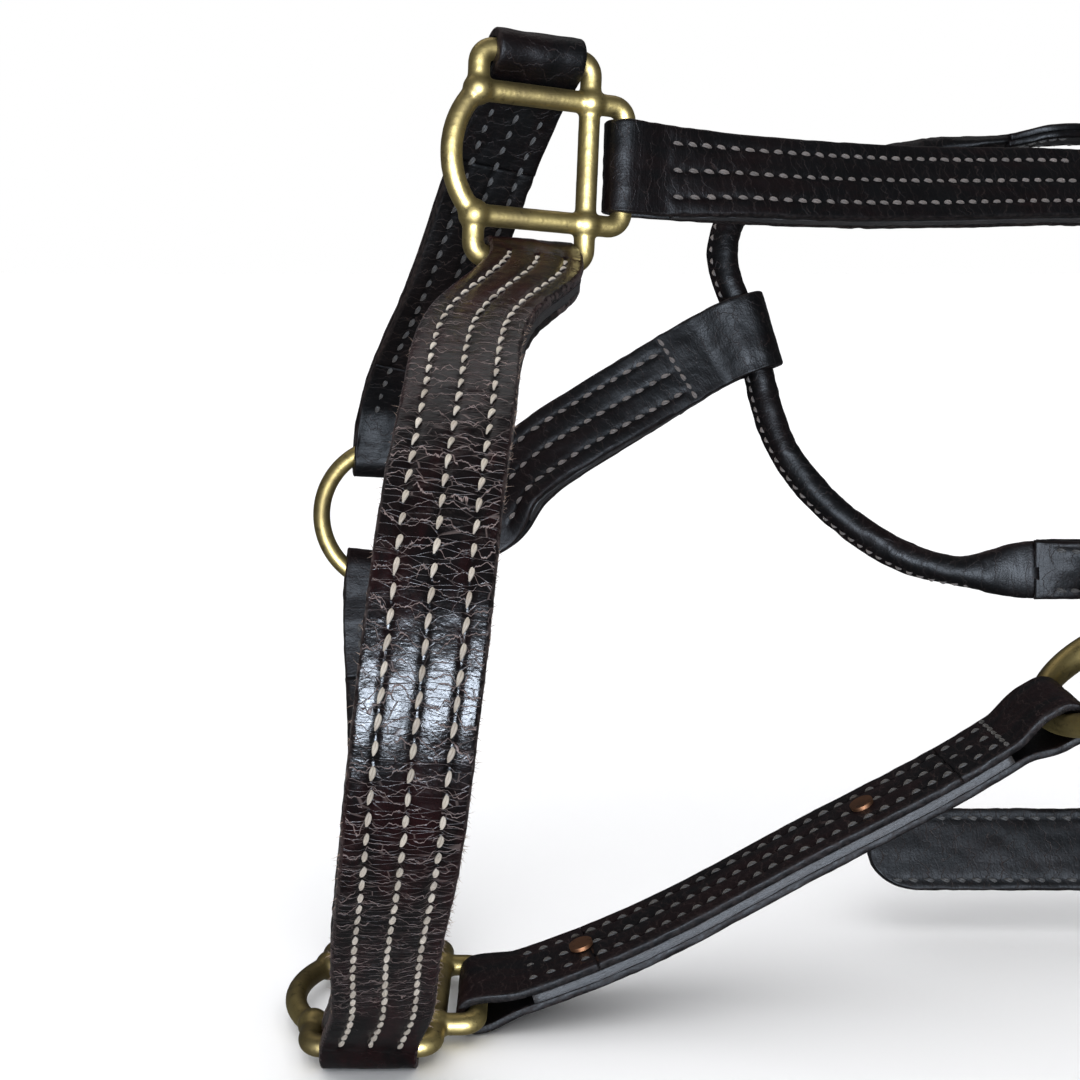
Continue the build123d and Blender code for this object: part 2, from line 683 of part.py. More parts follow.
# ---- rolled throatlatch --------------------------------------------------------------
def roll():
    """Rolled cover, round in the middle and flat at both ends."""
    spine = throat_spine()
    flare = 26.0
    joints = spread(0.0, spine.length, 75.0)
    body = None
    for begin, end in zip(joints, joints[1:]):
        wires = []
        for s in spread(begin, end, 6.5):
            p, along, across, _ = spine.at(s)
            open_out = 1.0 - ease(min(s, spine.length - s) / flare)
            wide = mix(ROLL_RADIUS, THROAT_WIDTH / 2, open_out)
            thick = mix(ROLL_RADIUS - 0.05, 2.6, open_out)
            wires.append(Wire.make_ellipse(wide, thick, Plane(origin=p, x_dir=across, z_dir=along)))
        piece = Solid.make_loft(wires)
        body = piece if body is None else body + piece
    return body


def throat_end(spine, side, at_end, loop):
    loops = (None, loop) if at_end else (loop, None)
    fold = spine.length - 1.0
    return face_ply(spine, side, TWO_PLY, loops, width=THROAT_WIDTH, fold=fold)


# ---- throat snap ---------------------------------------------------------------------
BARREL_START = 13.0
BARREL_END = 35.0
BORE_END = 29.5
KNOB_AT = 17.5
KNOB_RADIUS = 2.7
KNOB_REACH = 8.2
KNOB_STEM = 1.3
POST_RADIUS = 1.9
EYE_DEPTH = 9.5
EYE_SHOULDER = 3.4


def along_x(radius, begin, end):
    rod = Cylinder(radius, end - begin, align=(Align.CENTER, Align.CENTER, Align.MIN))
    return Pos(begin, 0, 0) * Rot(0, 90, 0) * rod


def snap_body():
    r = HOOK_RADIUS
    diagonal = math.sqrt(0.5) * r
    lean = 14.4 * math.sqrt(0.5)
    shoulder = (diagonal, r + diagonal)
    arc = ThreePointArc(shoulder, (-r, r), (0, 0))
    arm = Line((diagonal + lean, r + diagonal - lean), shoulder)
    body = swept_bar(arc, HOOK_WIRE) + swept_bar(arm, HOOK_WIRE) + Pos(*shoulder) * Sphere(HOOK_WIRE)
    body += along_x(BARREL_RADIUS, BARREL_START, BARREL_END)
    body -= along_x(BOLT_RADIUS + RUNNING, BARREL_START - 6.0, BORE_END)
    body -= along_x(POST_RADIUS + RUNNING, BORE_END + 0.8, BARREL_END + 2.0)
    slot_length = BOLT_TRAVEL + 2 * KNOB_STEM + 1.0
    slot = Box(slot_length, KNOB_REACH * 2, 2 * KNOB_STEM + 0.8)
    body -= Pos(KNOB_AT + BOLT_TRAVEL / 2, -KNOB_REACH, 0) * slot
    return placed(body, SNAP)


def snap_bolt():
    rod = along_x(BOLT_RADIUS, 0.4, BORE_END - BOLT_TRAVEL - 0.5)
    stem = Pos(KNOB_AT, -KNOB_REACH / 2, 0) * Rot(90, 0, 0) * Cylinder(KNOB_STEM, KNOB_REACH)
    knob = Pos(KNOB_AT, -KNOB_REACH, 0) * Sphere(KNOB_RADIUS)
    return placed(rod + stem + knob, SNAP)


def snap_eye():
    """Rectangular eye on a post that turns in the barrel."""
    back, bar = SNAP_LENGTH - EYE_DEPTH, 2 * EYE_WIRE
    length, width = EYE_DEPTH, THROAT_WIDTH + 6.0
    eye = Box(length + bar, width + bar, bar) - Box(length - bar, width - bar, 2 * bar)
    eye = fillet(eye.edges().filter_by(Axis.X) + eye.edges().filter_by(Axis.Y), 0.75 * EYE_WIRE)
    body = Pos(back + length / 2, 0, 0) * eye
    body += along_x(EYE_SHOULDER, BARREL_END + 0.4, back)
    body += along_x(POST_RADIUS, BORE_END + 1.2, BARREL_END + 1.0)
    return placed(body, EYE)


# ---- everything ----------------------------------------------------------------------
def halter():
    parts = {}
    nose = noseband_spine()
    for name, ply in zip(("face", "filler", "lining"), three_ply(nose, 1, (BAR_LOOP, BAR_LOOP))):
        parts["noseband_" + name] = ply
    square = halter_square()
    parts["off_side_square"] = placed(square, OFF)
    parts["near_side_square"] = placed(square, NEAR)
    ring = swelled_ring()
    parts["off_cheek_ring"] = placed(ring, OFF_RING)
    parts["near_cheek_ring"] = placed(ring, NEAR_RING)
    parts["chin_ring"] = placed(round_ring(CHIN_RING_RADIUS, CHIN_RING_WIRE), CHIN)
    cheeks = (("off_cheek", off_cheek_spine(), 1), ("near_cheek", near_cheek_spine(), -1))
    for title, spine, side in cheeks:
        plies = three_ply(spine, side, (BAR_LOOP, CHEEK_RING_LOOP))
        parts[title + "_face"] = punched_fold(plies[0], spine, side, RIVET_RADIUS + 0.1)
        for name, ply in zip(("filler", "lining"), plies[1:]):
            parts[title + "_" + name] = punched(ply, spine, RIVET_PLACES, RIVET_RADIUS + 0.1)
        parts[title + "_rivets"] = rivets(spine, side)
    face, lining = two_ply(off_chin_spine(), -1, (BAR_LOOP, CHIN_RING_LOOP))
    parts["off_chin_face"], parts["off_chin_lining"] = face, lining
    face, lining = two_ply(near_chin_spine(), -1, (CHIN_RING_LOOP, BAR_LOOP))
    parts["near_chin_face"], parts["near_chin_lining"] = face, lining
    plies = three_ply(connector_spine(), 1, (CHIN_RING_LOOP, CONNECTOR_ROLL_LOOP))
    for name, ply in zip(("face", "filler", "lining"), plies):
        parts["throat_connector_" + name] = ply
    parts["crown_outer"], parts["crown_lining"] = crown()
    parts["crown_chape_outer"], parts["crown_chape_lining"] = chape()
    parts["buckle_frame"] = buckle_frame()
    parts["buckle_tongue"] = buckle_tongue()
    parts["fixed_keeper"] = keeper(FIXED_KEEPER_AT)
    parts["sliding_keeper"] = keeper(SLIDING_KEEPER_AT)
    parts["throatlatch_roll"] = roll()
    parts["throatlatch_off_end"] = throat_end(throat_off_spine(), 1, False, THROAT_RING_LOOP)
    parts["throatlatch_near_end"] = throat_end(throat_near_spine(), 1, True, SNAP_EYE_LOOP)
    parts["snap_body"] = snap_body()
    parts["snap_bolt"] = snap_bolt()
    parts["snap_eye"] = snap_eye()
    return parts


def main():
    os.makedirs("parts", exist_ok=True)
    for name, shape in halter().items():
        export_step(Pos(*SHIFT) * shape, "parts/" + name + ".step")


if __name__ == "__main__":
    main()
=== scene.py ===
import math

import bmesh
import bpy
import numpy as np
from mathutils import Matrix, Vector


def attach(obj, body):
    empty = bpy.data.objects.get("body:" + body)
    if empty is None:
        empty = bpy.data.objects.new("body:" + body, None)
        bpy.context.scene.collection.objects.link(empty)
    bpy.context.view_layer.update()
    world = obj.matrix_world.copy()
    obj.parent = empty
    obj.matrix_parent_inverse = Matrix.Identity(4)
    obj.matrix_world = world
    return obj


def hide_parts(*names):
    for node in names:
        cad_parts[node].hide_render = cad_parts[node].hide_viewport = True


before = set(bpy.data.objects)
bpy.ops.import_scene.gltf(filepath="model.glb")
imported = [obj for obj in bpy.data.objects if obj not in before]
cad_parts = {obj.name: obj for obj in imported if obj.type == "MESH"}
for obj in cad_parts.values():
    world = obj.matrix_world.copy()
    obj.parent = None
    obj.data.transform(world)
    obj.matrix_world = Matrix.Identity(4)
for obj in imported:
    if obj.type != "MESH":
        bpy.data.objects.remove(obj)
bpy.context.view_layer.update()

# Dimensions repeated from the part, in millimetres before SHIFT
SHIFT = np.array((-181.6, -432.5, -0.05))
STRAP_WIDTH = 25.4
LAYER = 2.4
CROWN_LAYER = 2.0
PLY_GAP = 0.1
LOOP_CLEARANCE = 0.35
LOOP_BLEND = 13.0
FOLD_BACK = 34.0
LINING_GAP = 0.08
THREE_PLY = LAYER + PLY_GAP
TWO_PLY = (LAYER + PLY_GAP) / 2
CROWN_PLY = (CROWN_LAYER + PLY_GAP) / 2
ROLL_RADIUS = 4.75
THROAT_WIDTH = 19.0
SQUARE_BAR = 3.0
LOOP_REACH = 27.5
CHIN_RING_RADIUS = 22.5
CHIN_RING_WIRE = 2.7
CHEEK_RING_RADIUS = 27.0
CHEEK_RING_WIRE = 3.0
BUCKLE_BAR = 2.5
BUCKLE_LENGTH = 27.0
HOOK_RADIUS = 8.2
EYE_WIRE = 2.0
SNAP_LENGTH = 48.0
CROWN_OVER_HEEL = 8.2
CROWN_UNDER_FRONT = -0.3
KEEPER_THICKNESS = 2.2
KEEPER_LENGTH = 10.0
KEEPER_CLEARANCE = 0.8
FIXED_KEEPER_AT = -17.0
SLIDING_KEEPER_AT = -34.0
BILLET_HOLE_PITCH = 25.4
BILLET_HOLES = 4
BILLET_HOLE_RADIUS = 2.2
TONGUE_SLOT_AT = 7.75

# Leather surface, in millimetres
STITCH_PITCH = 5.0
STITCH_SLANT = -11.0        # degrees off the row
STITCH_SINK = 0.12          # how far a stitch's seat lies below the leather's face
CRACK_WIDTH = 0.16
BAND_PUFF = 0.22            # how far the leather swells between rows of stitches
ROWS = (-7.6, 0.0, 7.6)     # rows of stitches across a wide strap
EDGE_ROWS = (-9.6, 9.6)
THROAT_ROWS = (-6.5, 6.5)
THROAT_PITCH = 4.5
SEAM_PITCH = 3.4


# Vectors and frames
def vec(p):
    return np.array(p, float)


def unit(v):
    return v / np.linalg.norm(v)


def square_up(v, against):
    return unit(v - against * np.dot(v, against))


def ease(t):
    t = np.clip(t, 0.0, 1.0)
    return 0.5 - 0.5 * np.cos(np.pi * t)


def make_frame(at, x, y):
    ex = unit(vec(x))
    ey = square_up(vec(y), ex)
    return vec(at), ex, ey, np.cross(ex, ey)


class Spine:
    """Smooth centre line with a width direction, read by arc length."""

    def __init__(self, points, start, end, widths):
        self.p = np.array([vec(p) for p in points])
        self.w = np.array([unit(vec(w)) for w in widths])
        self.gap = np.linalg.norm(np.diff(self.p, axis=0), axis=1)
        n = len(self.p)
        a = np.zeros((n, n))
        b = np.zeros((n, 3))
        a[0, 0] = a[-1, -1] = 1.0
        b[0], b[-1] = unit(vec(start)), unit(vec(end))
        for i in range(1, n - 1):
            h0, h1 = self.gap[i - 1], self.gap[i]
            a[i, i - 1], a[i, i], a[i, i + 1] = h1, 2 * (h0 + h1), h0
            b[i] = 3 * h1 / h0 * (self.p[i] - self.p[i - 1]) + 3 * h0 / h1 * (self.p[i + 1] - self.p[i])
        self.m = np.linalg.solve(a, b)
        t = np.linspace(0, n - 1, 80 * (n - 1) + 1)
        pts = self.raw(t)[0]
        self.t = t
        self.s = np.concatenate(([0.0], np.cumsum(np.linalg.norm(np.diff(pts, axis=0), axis=1))))
        self.length = self.s[-1]

    def raw(self, t):
        i = np.clip(t.astype(int), 0, len(self.gap) - 1)
        u = (t - i)[:, None]
        h = self.gap[i][:, None]
        p0, p1, m0, m1 = self.p[i], self.p[i + 1], self.m[i], self.m[i + 1]
        u2, u3 = u * u, u * u * u
        p = p0 * (2 * u3 - 3 * u2 + 1) + p1 * (3 * u2 - 2 * u3)
        p = p + m0 * h * (u3 - 2 * u2 + u) + m1 * h * (u3 - u2)
        d = (p1 - p0) * (6 * u - 6 * u2) / h + m0 * (3 * u2 - 4 * u + 1) + m1 * (3 * u2 - 2 * u)
        e = ease(u)
        return p, d, self.w[i] * (1 - e) + self.w[i + 1] * e

    def at(self, s):
        """Points, tangents, width directions and normals at arc lengths s."""
        s = np.clip(np.atleast_1d(np.asarray(s, float)), 0, self.length)
        p, d, w = self.raw(np.interp(s, self.s, self.t))
        d /= np.linalg.norm(d, axis=1)[:, None]
        w = w - d * (w * d).sum(1)[:, None]
        w /= np.linalg.norm(w, axis=1)[:, None]
        return p, d, w, np.cross(d, w)


def ring_sag(radius):
    """How far a flat strap's loop rides inside a ring of this radius."""
    return radius - math.sqrt(radius ** 2 - (STRAP_WIDTH / 2) ** 2)


def ring_point(fr, radius, angle):
    a = math.radians(angle)
    out = fr[1] * math.cos(a) + fr[2] * math.sin(a)
    return fr[0] + out * radius, out


def cheek_ring_frame(bar, out, across):
    fr = make_frame(bar, out, across)
    return fr[0] + fr[1] * CHEEK_RING_RADIUS, fr[1], fr[2], fr[3]


OFF = make_frame((-2.0, 421.5, 235.8), (0.92, 0.385, -0.085), (0.13, 0.16, 0.978))
NEAR = make_frame((-45.0, 387.5, 5.8), (1, 0, 0), (0, 1, 0))
CHIN = make_frame((-47.7, 475.0, 126.3), (0.985, 0.17, -0.02), (-0.05, 0.25, 0.967))
OFF_RING = cheek_ring_frame((190.0, 515.0, 229.0), (0.80, 0.585, -0.10), (-0.24, 0.47, 0.85))
NEAR_RING = cheek_ring_frame((143.0, 405.0, 82.0), (0.87, 0.0, 0.5), (0, 1, 0))
BUCKLE = make_frame((285.0, 438.5, 27.5), (1, 0, 0), (0, 0.45, 0.893))
THROAT_AT_LOOP = (69.7, 503.0, 182.0)
THROAT_HEADING = (0.283, -0.20, -0.938)


def loop_bar(square, x, y):
    return square[0] + (square[1] * x + square[2] * y) * LOOP_REACH


def noseband_spine():
    points = [loop_bar(OFF, 0, -1), (-13.7, 369, 195.4), (-17.8, 332.5, 180.1), (-20.2, 307.4, 162.2),
              (-22.6, 292.5, 140.3), (-24.5, 287.9, 124.9), (-27.3, 288.4, 103.5), (-31, 300.3, 80.4),
              (-36.5, 324.7, 49), (-40.5, 345, 24), loop_bar(NEAR, 0, -1)]
    widths = [OFF[1]] + [(1, 0.1, 0)] * 9 + [NEAR[1]]
    return Spine(points, OFF[3] * 0.95 - OFF[2] * 0.3, (0, 0.6, -0.8), widths)


def off_cheek_spine():
    end = OFF_RING[0] - OFF_RING[1] * (CHEEK_RING_RADIUS - ring_sag(CHEEK_RING_RADIUS))
    points = [loop_bar(OFF, 1, 0), (61, 448.3, 230.7), (143.3, 490.6, 229.6), end]
    return Spine(points, OFF[1], OFF_RING[1], [OFF[2], (-0.15, 0.40, 0.90), OFF_RING[2], OFF_RING[2]])


def near_cheek_spine():
    end = NEAR_RING[0] - NEAR_RING[1] * (CHEEK_RING_RADIUS - ring_sag(CHEEK_RING_RADIUS))
    points = [loop_bar(NEAR, 1, 0), (44, 397, 27), (74, 400, 43), (125, 404, 70.5), end]
    return Spine(points, (0.96, 0, 0.27), NEAR_RING[1], [(0, 1, 0)] * 5)


def chin_end(angle):
    return ring_point(CHIN, CHIN_RING_RADIUS - ring_sag(CHIN_RING_RADIUS) - 0.6, angle)


def off_chin_spine():
    end, out = chin_end(88.0)
    start = square_up(vec((-0.35, 0.463, -0.81)), OFF[1])
    points = [loop_bar(OFF, 0, 1), (-9.8, 435.5, 243), (-28.2, 455.9, 197.3), (-43.5, 475.5, 164), end]
    widths = [OFF[1], (0.83, 0.45, -0.25), (0.88, 0.40, -0.2), (0.97, 0.2, -0.1), np.cross(out, CHIN[3])]
    return Spine(points, start, -out, widths)


def near_chin_spine():
    start, out = chin_end(-98.0)
    points = [start, (-49, 458, 75), (-46.5, 437, 40), loop_bar(NEAR, 0, 1)]
    return Spine(points, out, (0, -0.55, -0.835), [-np.cross(out, CHIN[3]), (1, 0.05, 0), (1, 0, 0), NEAR[1]])


def connector_spine():
    start, out = chin_end(-5.0)
    heading = unit(vec(THROAT_HEADING))
    in_ring = -np.cross(out, CHIN[3])
    points = [start, start + out * 9, (-8, 483, 136), (11.5, 488.6, 151), (46, 497.8, 171), THROAT_AT_LOOP]
    widths = [in_ring, in_ring, (0, 0.55, 0.82), (-0.1, 0.50, 0.85), (-0.22, 0.3, 0.93), -heading]
    return Spine(points, out, square_up(vec((0.93, 0.13, 0.34)), heading), widths)


def crown_spine():
    start = OFF_RING[0] + OFF_RING[1] * (CHEEK_RING_RADIUS - ring_sag(CHEEK_RING_RADIUS))
    origin, along, across, inward = BUCKLE
    over_heel = origin - inward * CROWN_OVER_HEEL
    points = [start, (275, 566, 221), (345, 568, 204), (405, 556, 160), (432, 545, 100), (424, 532, 45),
              (394, 530, 12.9), (362, 519, 8.1), (334, 486, 17.5),
              origin + along * BUCKLE_LENGTH - inward * CROWN_UNDER_FRONT, over_heel]
    points += [over_heel - along * d for d in (14, 40, 90, 181)]
    widths = [OFF_RING[2], (-0.1, 0.70, 0.7), (0, 0.95, 0.3), (0, 1, 0), (0, 1, 0), (0.2, 0.98, 0),
              (0.25, 0.95, 0.1), (0, 0.9, 0.4), (0, 0.65, 0.75)] + [across] * 6
    return Spine(points, OFF_RING[1], -along, widths)


def chape_spine():
    origin, along, across, _ = BUCKLE
    start = NEAR_RING[0] + NEAR_RING[1] * (CHEEK_RING_RADIUS - 1.6)
    points = [start, (202, 411, 81), (217, 427, 49)] + [origin - along * d for d in (49, 32, 15, 0)]
    return Spine(points, (0.55, 0, -0.83), along, [(0, 1, 0), (0, 0.98, 0.2), (0, 0.75, 0.66)] + [across] * 4)


def throat_off_spine():
    start = OFF_RING[0] + OFF_RING[2] * (CHEEK_RING_RADIUS - 0.9)
    heading = square_up(vec((-0.585, 0.80, 0.0)), OFF_RING[1])
    return Spine([start, (187, 560, 249.5), (166, 562.5, 247)], heading, (-0.98, -0.15, -0.10),
                 [OFF_RING[1], (0.3, 0.95, -0.1), (0, 1, 0)])


def throat_spine():
    points = [(165.6, 562.4, 246.9), (118, 549, 240), (82, 527, 230), (63.5, 513, 218), (61.3, 509, 209),
              THROAT_AT_LOOP, (78.5, 493, 150), (105, 482, 120), (130, 474.5, 109), (158, 469.4, 109.5)]
    widths = [(0, 1, 0), (0.3, 0.9, -0.3), (0.5, 0.6, -0.6), (0.9, 0.1, -0.1), (0.96, 0.1, 0.2),
              (0.94, 0.1, 0.3), (0.9, 0.1, 0.4), (0.6, 0.1, 0.8), (0.2, 0.1, 0.97), (0, 0.1, 0.99)]
    return Spine(points, (-0.98, -0.15, -0.10), (0.97, -0.2, 0.1), widths)


def snap_frames():
    bar, out = ring_point(NEAR_RING, CHEEK_RING_RADIUS, 52.0)
    tangent = np.cross(out, NEAR_RING[3])
    axis = square_up(vec((0.716, 0.573, 0.401)), tangent)
    up = np.cross(tangent, axis)
    if up[2] < 0:
        up = -up
    origin = bar - up * HOOK_RADIUS
    level = square_up(vec((0, 0, 1)), axis)
    return (origin, axis, up, np.cross(axis, up)), (origin, axis, level, np.cross(axis, level))


SNAP, EYE = snap_frames()


def throat_near_spine():
    origin, axis, up, _ = EYE
    points = [(158.5, 469.3, 109.6), (184, 465.8, 110.5), origin + axis * SNAP_LENGTH]
    return Spine(points, (0.97, -0.2, 0.05), square_up(vec((0.99, -0.1, 0.0)), up), [(0, 0.1, 0.99), up, up])


BAR_LOOP = (SQUARE_BAR + LOOP_CLEARANCE + LAYER / 2, 0.0)
CHEEK_RING_LOOP = (CHEEK_RING_WIRE + 0.7 + LOOP_CLEARANCE + LAYER / 2, 3.8)
CROWN_RING_LOOP = (CHEEK_RING_WIRE + 0.7 + LOOP_CLEARANCE + CROWN_LAYER / 2, 3.8)
CHIN_RING_LOOP = (CHIN_RING_WIRE + 0.5 + LOOP_CLEARANCE + LAYER / 2, 5.4)
CHAPE_RING_LOOP = (6.9, 2.2)
THROAT_RING_LOOP = (6.8, 1.0)
CONNECTOR_ROLL_LOOP = (6.9, 4.0)
SNAP_EYE_LOOP = (EYE_WIRE + LOOP_CLEARANCE + LAYER / 2, 0.0)
HEEL_LOOP = (BUCKLE_BAR + LOOP_CLEARANCE + LAYER / 2, 0.0)


# Meshes
def metres(points):
    return (np.asarray(points, float) + SHIFT) * 0.001


def add_mesh(name, verts, faces, attributes=None, smooth=True):
    mesh = bpy.data.meshes.new(name)
    mesh.from_pydata(metres(verts).tolist(), [], faces)
    for key, value in (attributes or {}).items():
        value = np.asarray(value, np.float32)
        if value.ndim == 2:
            mesh.attributes.new(key, "FLOAT_VECTOR", "POINT").data.foreach_set("vector", value.ravel())
        else:
            mesh.attributes.new(key, "FLOAT", "POINT").data.foreach_set("value", value)
    if smooth:
        mesh.shade_smooth()
    obj = bpy.data.objects.new(name, mesh)
    bpy.context.scene.collection.objects.link(obj)
    return obj


def grid_faces(n, m):
    """Quads joining n rings of m points each."""
    i = np.arange(n - 1)[:, None] * m
    j = np.arange(m)[None, :]
    k = (j + 1) % m
    return np.stack([i + j, i + k, i + m + k, i + m + j], axis=-1).reshape(-1, 4)


def capped_tube(n, m):
    """Faces of a closed tube of n rings of m points each."""
    faces = grid_faces(n, m).tolist()
    faces.append(list(range(m))[::-1])
    faces.append([(n - 1) * m + j for j in range(m)])
    return faces


def ply_path(spine, side, offset, loops, fold, step):
    """Centre line of the outer ply: turned-back end, loop, run, loop, turned-back end."""
    total = spine.length

    def half_gap(s):
        def one(d, loop):
            if loop is None:
                return np.full_like(d, offset)
            e = ease((d - loop[1]) / LOOP_BLEND)
            return loop[0] * (1 - e) + offset * e
        return np.maximum(one(s, loops[0]), one(total - s, loops[1]))

    def stretch(a, b, way):
        s = np.linspace(a, b, max(2, int(abs(b - a) / step) + 1))
        p, _, w, n = spine.at(s)
        return p + n * (way * side * half_gap(s))[:, None], w, s

    def bend(at_end, reverse):
        p, d, w, n = (q[0] for q in spine.at([total if at_end else 0.0]))
        away = d if at_end else -d
        radius = loops[1 if at_end else 0][0]
        count = max(6, int(math.pi * radius / step))
        a = np.linspace(0, math.pi, count + 1)[1:-1]
        if reverse:
            a = a[::-1]
        pts = p + radius * (np.outer(np.cos(a), n * side) + np.outer(np.sin(a), away))
        beyond = radius * np.minimum(a, math.pi - a)
        s = total + beyond if at_end else -beyond
        return pts, np.repeat(w[None, :], len(a), 0), s

    parts = []
    if loops[0]:
        parts += [stretch(fold, 0.0, -1), bend(False, True)]
    parts.append(stretch(0.0, total, 1))
    if loops[1]:
        parts += [bend(True, False), stretch(total, total - fold, -1)]
    pts = np.concatenate([q[0] for q in parts])
    wid = np.concatenate([q[1] for q in parts])
    s = np.concatenate([q[2] for q in parts])
    run = 2 if loops[0] else 0
    flap = np.concatenate([np.full(len(q[2]), float(k != run)) for k, q in enumerate(parts)])
    keep = np.concatenate(([True], np.linalg.norm(np.diff(pts, axis=0), axis=1) > step * 0.25))
    return pts[keep], wid[keep], s[keep], flap[keep]


def path_normals(pts, wid, reference):
    """Outward normals along a path, with the sign of the reference vector at its middle."""
    along = np.gradient(pts, axis=0)
    along -= wid * (along * wid).sum(1)[:, None]
    along /= np.linalg.norm(along, axis=1)[:, None]
    out = np.cross(along, wid)
    if np.dot(out[len(out) // 2], reference) < 0:
        out = -out
    return out


def strap_profile(width, thickness, dw, radius, low_radius=0.15):
    """Cross-section loop of (across, height), rounded on top, and which points are its top face."""
    half, t = width / 2, thickness / 2
    radius = min(radius, t * 0.9)
    count = max(4, int((width - 2 * radius) / dw))
    top = [(x, t) for x in np.linspace(-half + radius, half - radius, count + 1)]
    right = [(half - radius + radius * math.sin(a), t - radius + radius * math.cos(a)) for a in
             (math.pi / 8, math.pi / 4, 3 * math.pi / 8, math.pi / 2)]
    right += [(half, -t + low_radius), (half - low_radius, -t)]
    bottom = [(x, -t) for x in np.linspace(half - low_radius - 1.0, -half + low_radius + 1.0, 9)]
    arr = np.array(top + right + bottom + [(-x, h) for x, h in right[::-1]])
    return arr, np.arange(len(arr)) < count + 1


def field_noise(seed, s, w, ls, lw):
    """Two-dimensional value noise over strap coordinates."""
    rng = np.random.default_rng(seed)
    table = rng.standard_normal((256, 64))
    x, y = s / ls + 40.0, w / lw + 20.0
    i, j = np.floor(x).astype(int) % 255, np.floor(y).astype(int) % 63
    fx, fy = ease(x - np.floor(x)), ease(y - np.floor(y))
    a = table[i, j] * (1 - fx) + table[i + 1, j] * fx
    b = table[i, j + 1] * (1 - fx) + table[i + 1, j + 1] * fx
    return a * (1 - fy) + b * fy


def crack_field(seed, s, w, begin, end, every):
    """Depth from 0 to 1 of fine wavy cracks that run across a strap."""
    rng = np.random.default_rng(seed)
    depth = np.zeros_like(s)
    total = int((end - begin) / every)
    for _ in range(total):
        s0 = rng.uniform(begin, end)
        w0 = rng.uniform(-11.5, 11.5)
        reach = rng.uniform(1.5, 9.5)
        slope = rng.normal(0, 0.16)
        wave, phase = rng.uniform(0.15, 0.5), rng.uniform(0, 6.28)
        second, phase2 = rng.uniform(0.05, 0.18), rng.uniform(0, 6.28)
        strength = rng.uniform(0.35, 1.0)
        near = (np.abs(s - s0) < 4.0) & (np.abs(w - w0) < reach)
        if not near.any():
            continue
        dw = w[near] - w0
        line = s0 + slope * dw + wave * np.sin(dw * 1.1 + phase) + second * np.sin(dw * 3.7 + phase2)
        fade = np.clip(1.15 - np.abs(dw) / reach, 0, 1)
        value = strength * fade * np.exp(-((s[near] - line) / (CRACK_WIDTH * (0.7 + 0.5 * fade))) ** 2)
        depth[near] = np.maximum(depth[near], value)
    return depth


def ply_mesh(name, path, width, thickness, reference, dw, rows=(), pitch=STITCH_PITCH, stitched=None,
             crack=None, seed=1, edge_radius=0.8, puff=0.0, taper=None):
    """A strip of leather along a path; its outer face has stitch grooves, dimples and cracks."""
    pts, wid, s, flap = path
    out = path_normals(pts, wid, reference)
    profile, is_top = strap_profile(width, thickness, dw, edge_radius)
    n, m = len(pts), len(profile)
    w = np.repeat(profile[None, :, 0], n, 0)
    h = np.repeat(profile[None, :, 1], n, 0)
    sg = np.repeat(s[:, None], m, 1)
    fl = np.repeat(flap[:, None], m, 1)
    top = np.repeat(is_top[None, :], n, 0).astype(float)
    run = np.concatenate(([0.0], np.cumsum(np.linalg.norm(np.diff(pts, axis=0), axis=1))))
    rg = np.repeat(run[:, None], m, 1)
    if taper is not None:
        w = w * taper(s)[:, None]
    lift = 0.10 * field_noise(seed, sg, w, 9.0, 5.0) * top
    lift = lift + 0.05 * field_noise(seed + 5, rg, w, 2.3, 2.0) * top
    groove = np.zeros_like(w)
    holes = np.zeros_like(w)
    if len(rows):
        a, b = stitched
        inside = ((sg > a) & (sg < b)).astype(float) * (1 - fl)
        for r in rows:
            near = np.exp(-((w - r) / 0.85) ** 2)
            groove += near
            step = ((sg - a + pitch / 2) % pitch) - pitch / 2
            holes += np.exp(-((w - r) / 0.55) ** 2 - (step / 0.5) ** 2)
        groove *= inside
        holes *= inside
        bands = sorted(list(rows) + [-width / 2, width / 2])
        pillow = np.zeros_like(w)
        for lo, hi in zip(bands, bands[1:]):
            u = (w - lo) / (hi - lo)
            pillow += np.where((u > 0) & (u < 1), np.sin(np.pi * np.clip(u, 0, 1)), 0)
        lift += top * inside * (puff * pillow - 0.28 * groove - 0.30 * holes)
    wear = np.zeros_like(w)
    if crack is not None:
        begin, end, every = crack
        wear = crack_field(seed + 11, sg, w, begin, end, every) * top * (1 - fl)
        lift -= 0.10 * wear
    side = 0.10 * field_noise(seed + 3, rg, h, 3.0, 1.0) * (1 - top)
    w = w + np.sign(w) * side * (np.abs(w) > width / 2 - 0.9)
    verts = pts[:, None, :] + wid[:, None, :] * w[:, :, None] + out[:, None, :] * (h + lift)[:, :, None]
    strap = np.stack([rg, w, h], axis=-1).reshape(-1, 3)
    aged = np.ones_like(w)
    if crack is not None:
        aged = np.clip((sg - crack[0] - 16.0) / 26.0, 0.04, 1) * np.clip((crack[1] - sg) / 16.0, 0.03, 1)
    attributes = {"aged": aged.ravel(), "strap": strap, "wear": wear.ravel(), "topface": top.ravel(),
                  "groove": np.clip(groove, 0, 1).ravel()}
    obj = add_mesh(name, verts.reshape(-1, 3), capped_tube(n, m), attributes)
    fix_normals(obj)
    return obj


def fix_normals(obj):
    bm = bmesh.new()
    bm.from_mesh(obj.data)
    bmesh.ops.recalc_face_normals(bm, faces=bm.faces)
    bm.to_mesh(obj.data)
    bm.free()


def plain_path(spine, side, offset, begin, end, step):
    s = np.linspace(begin, end, max(2, int((end - begin) / step) + 1))
    p, _, w, n = spine.at(s)
    return p + n * (side * offset), w, s, np.zeros(len(s))


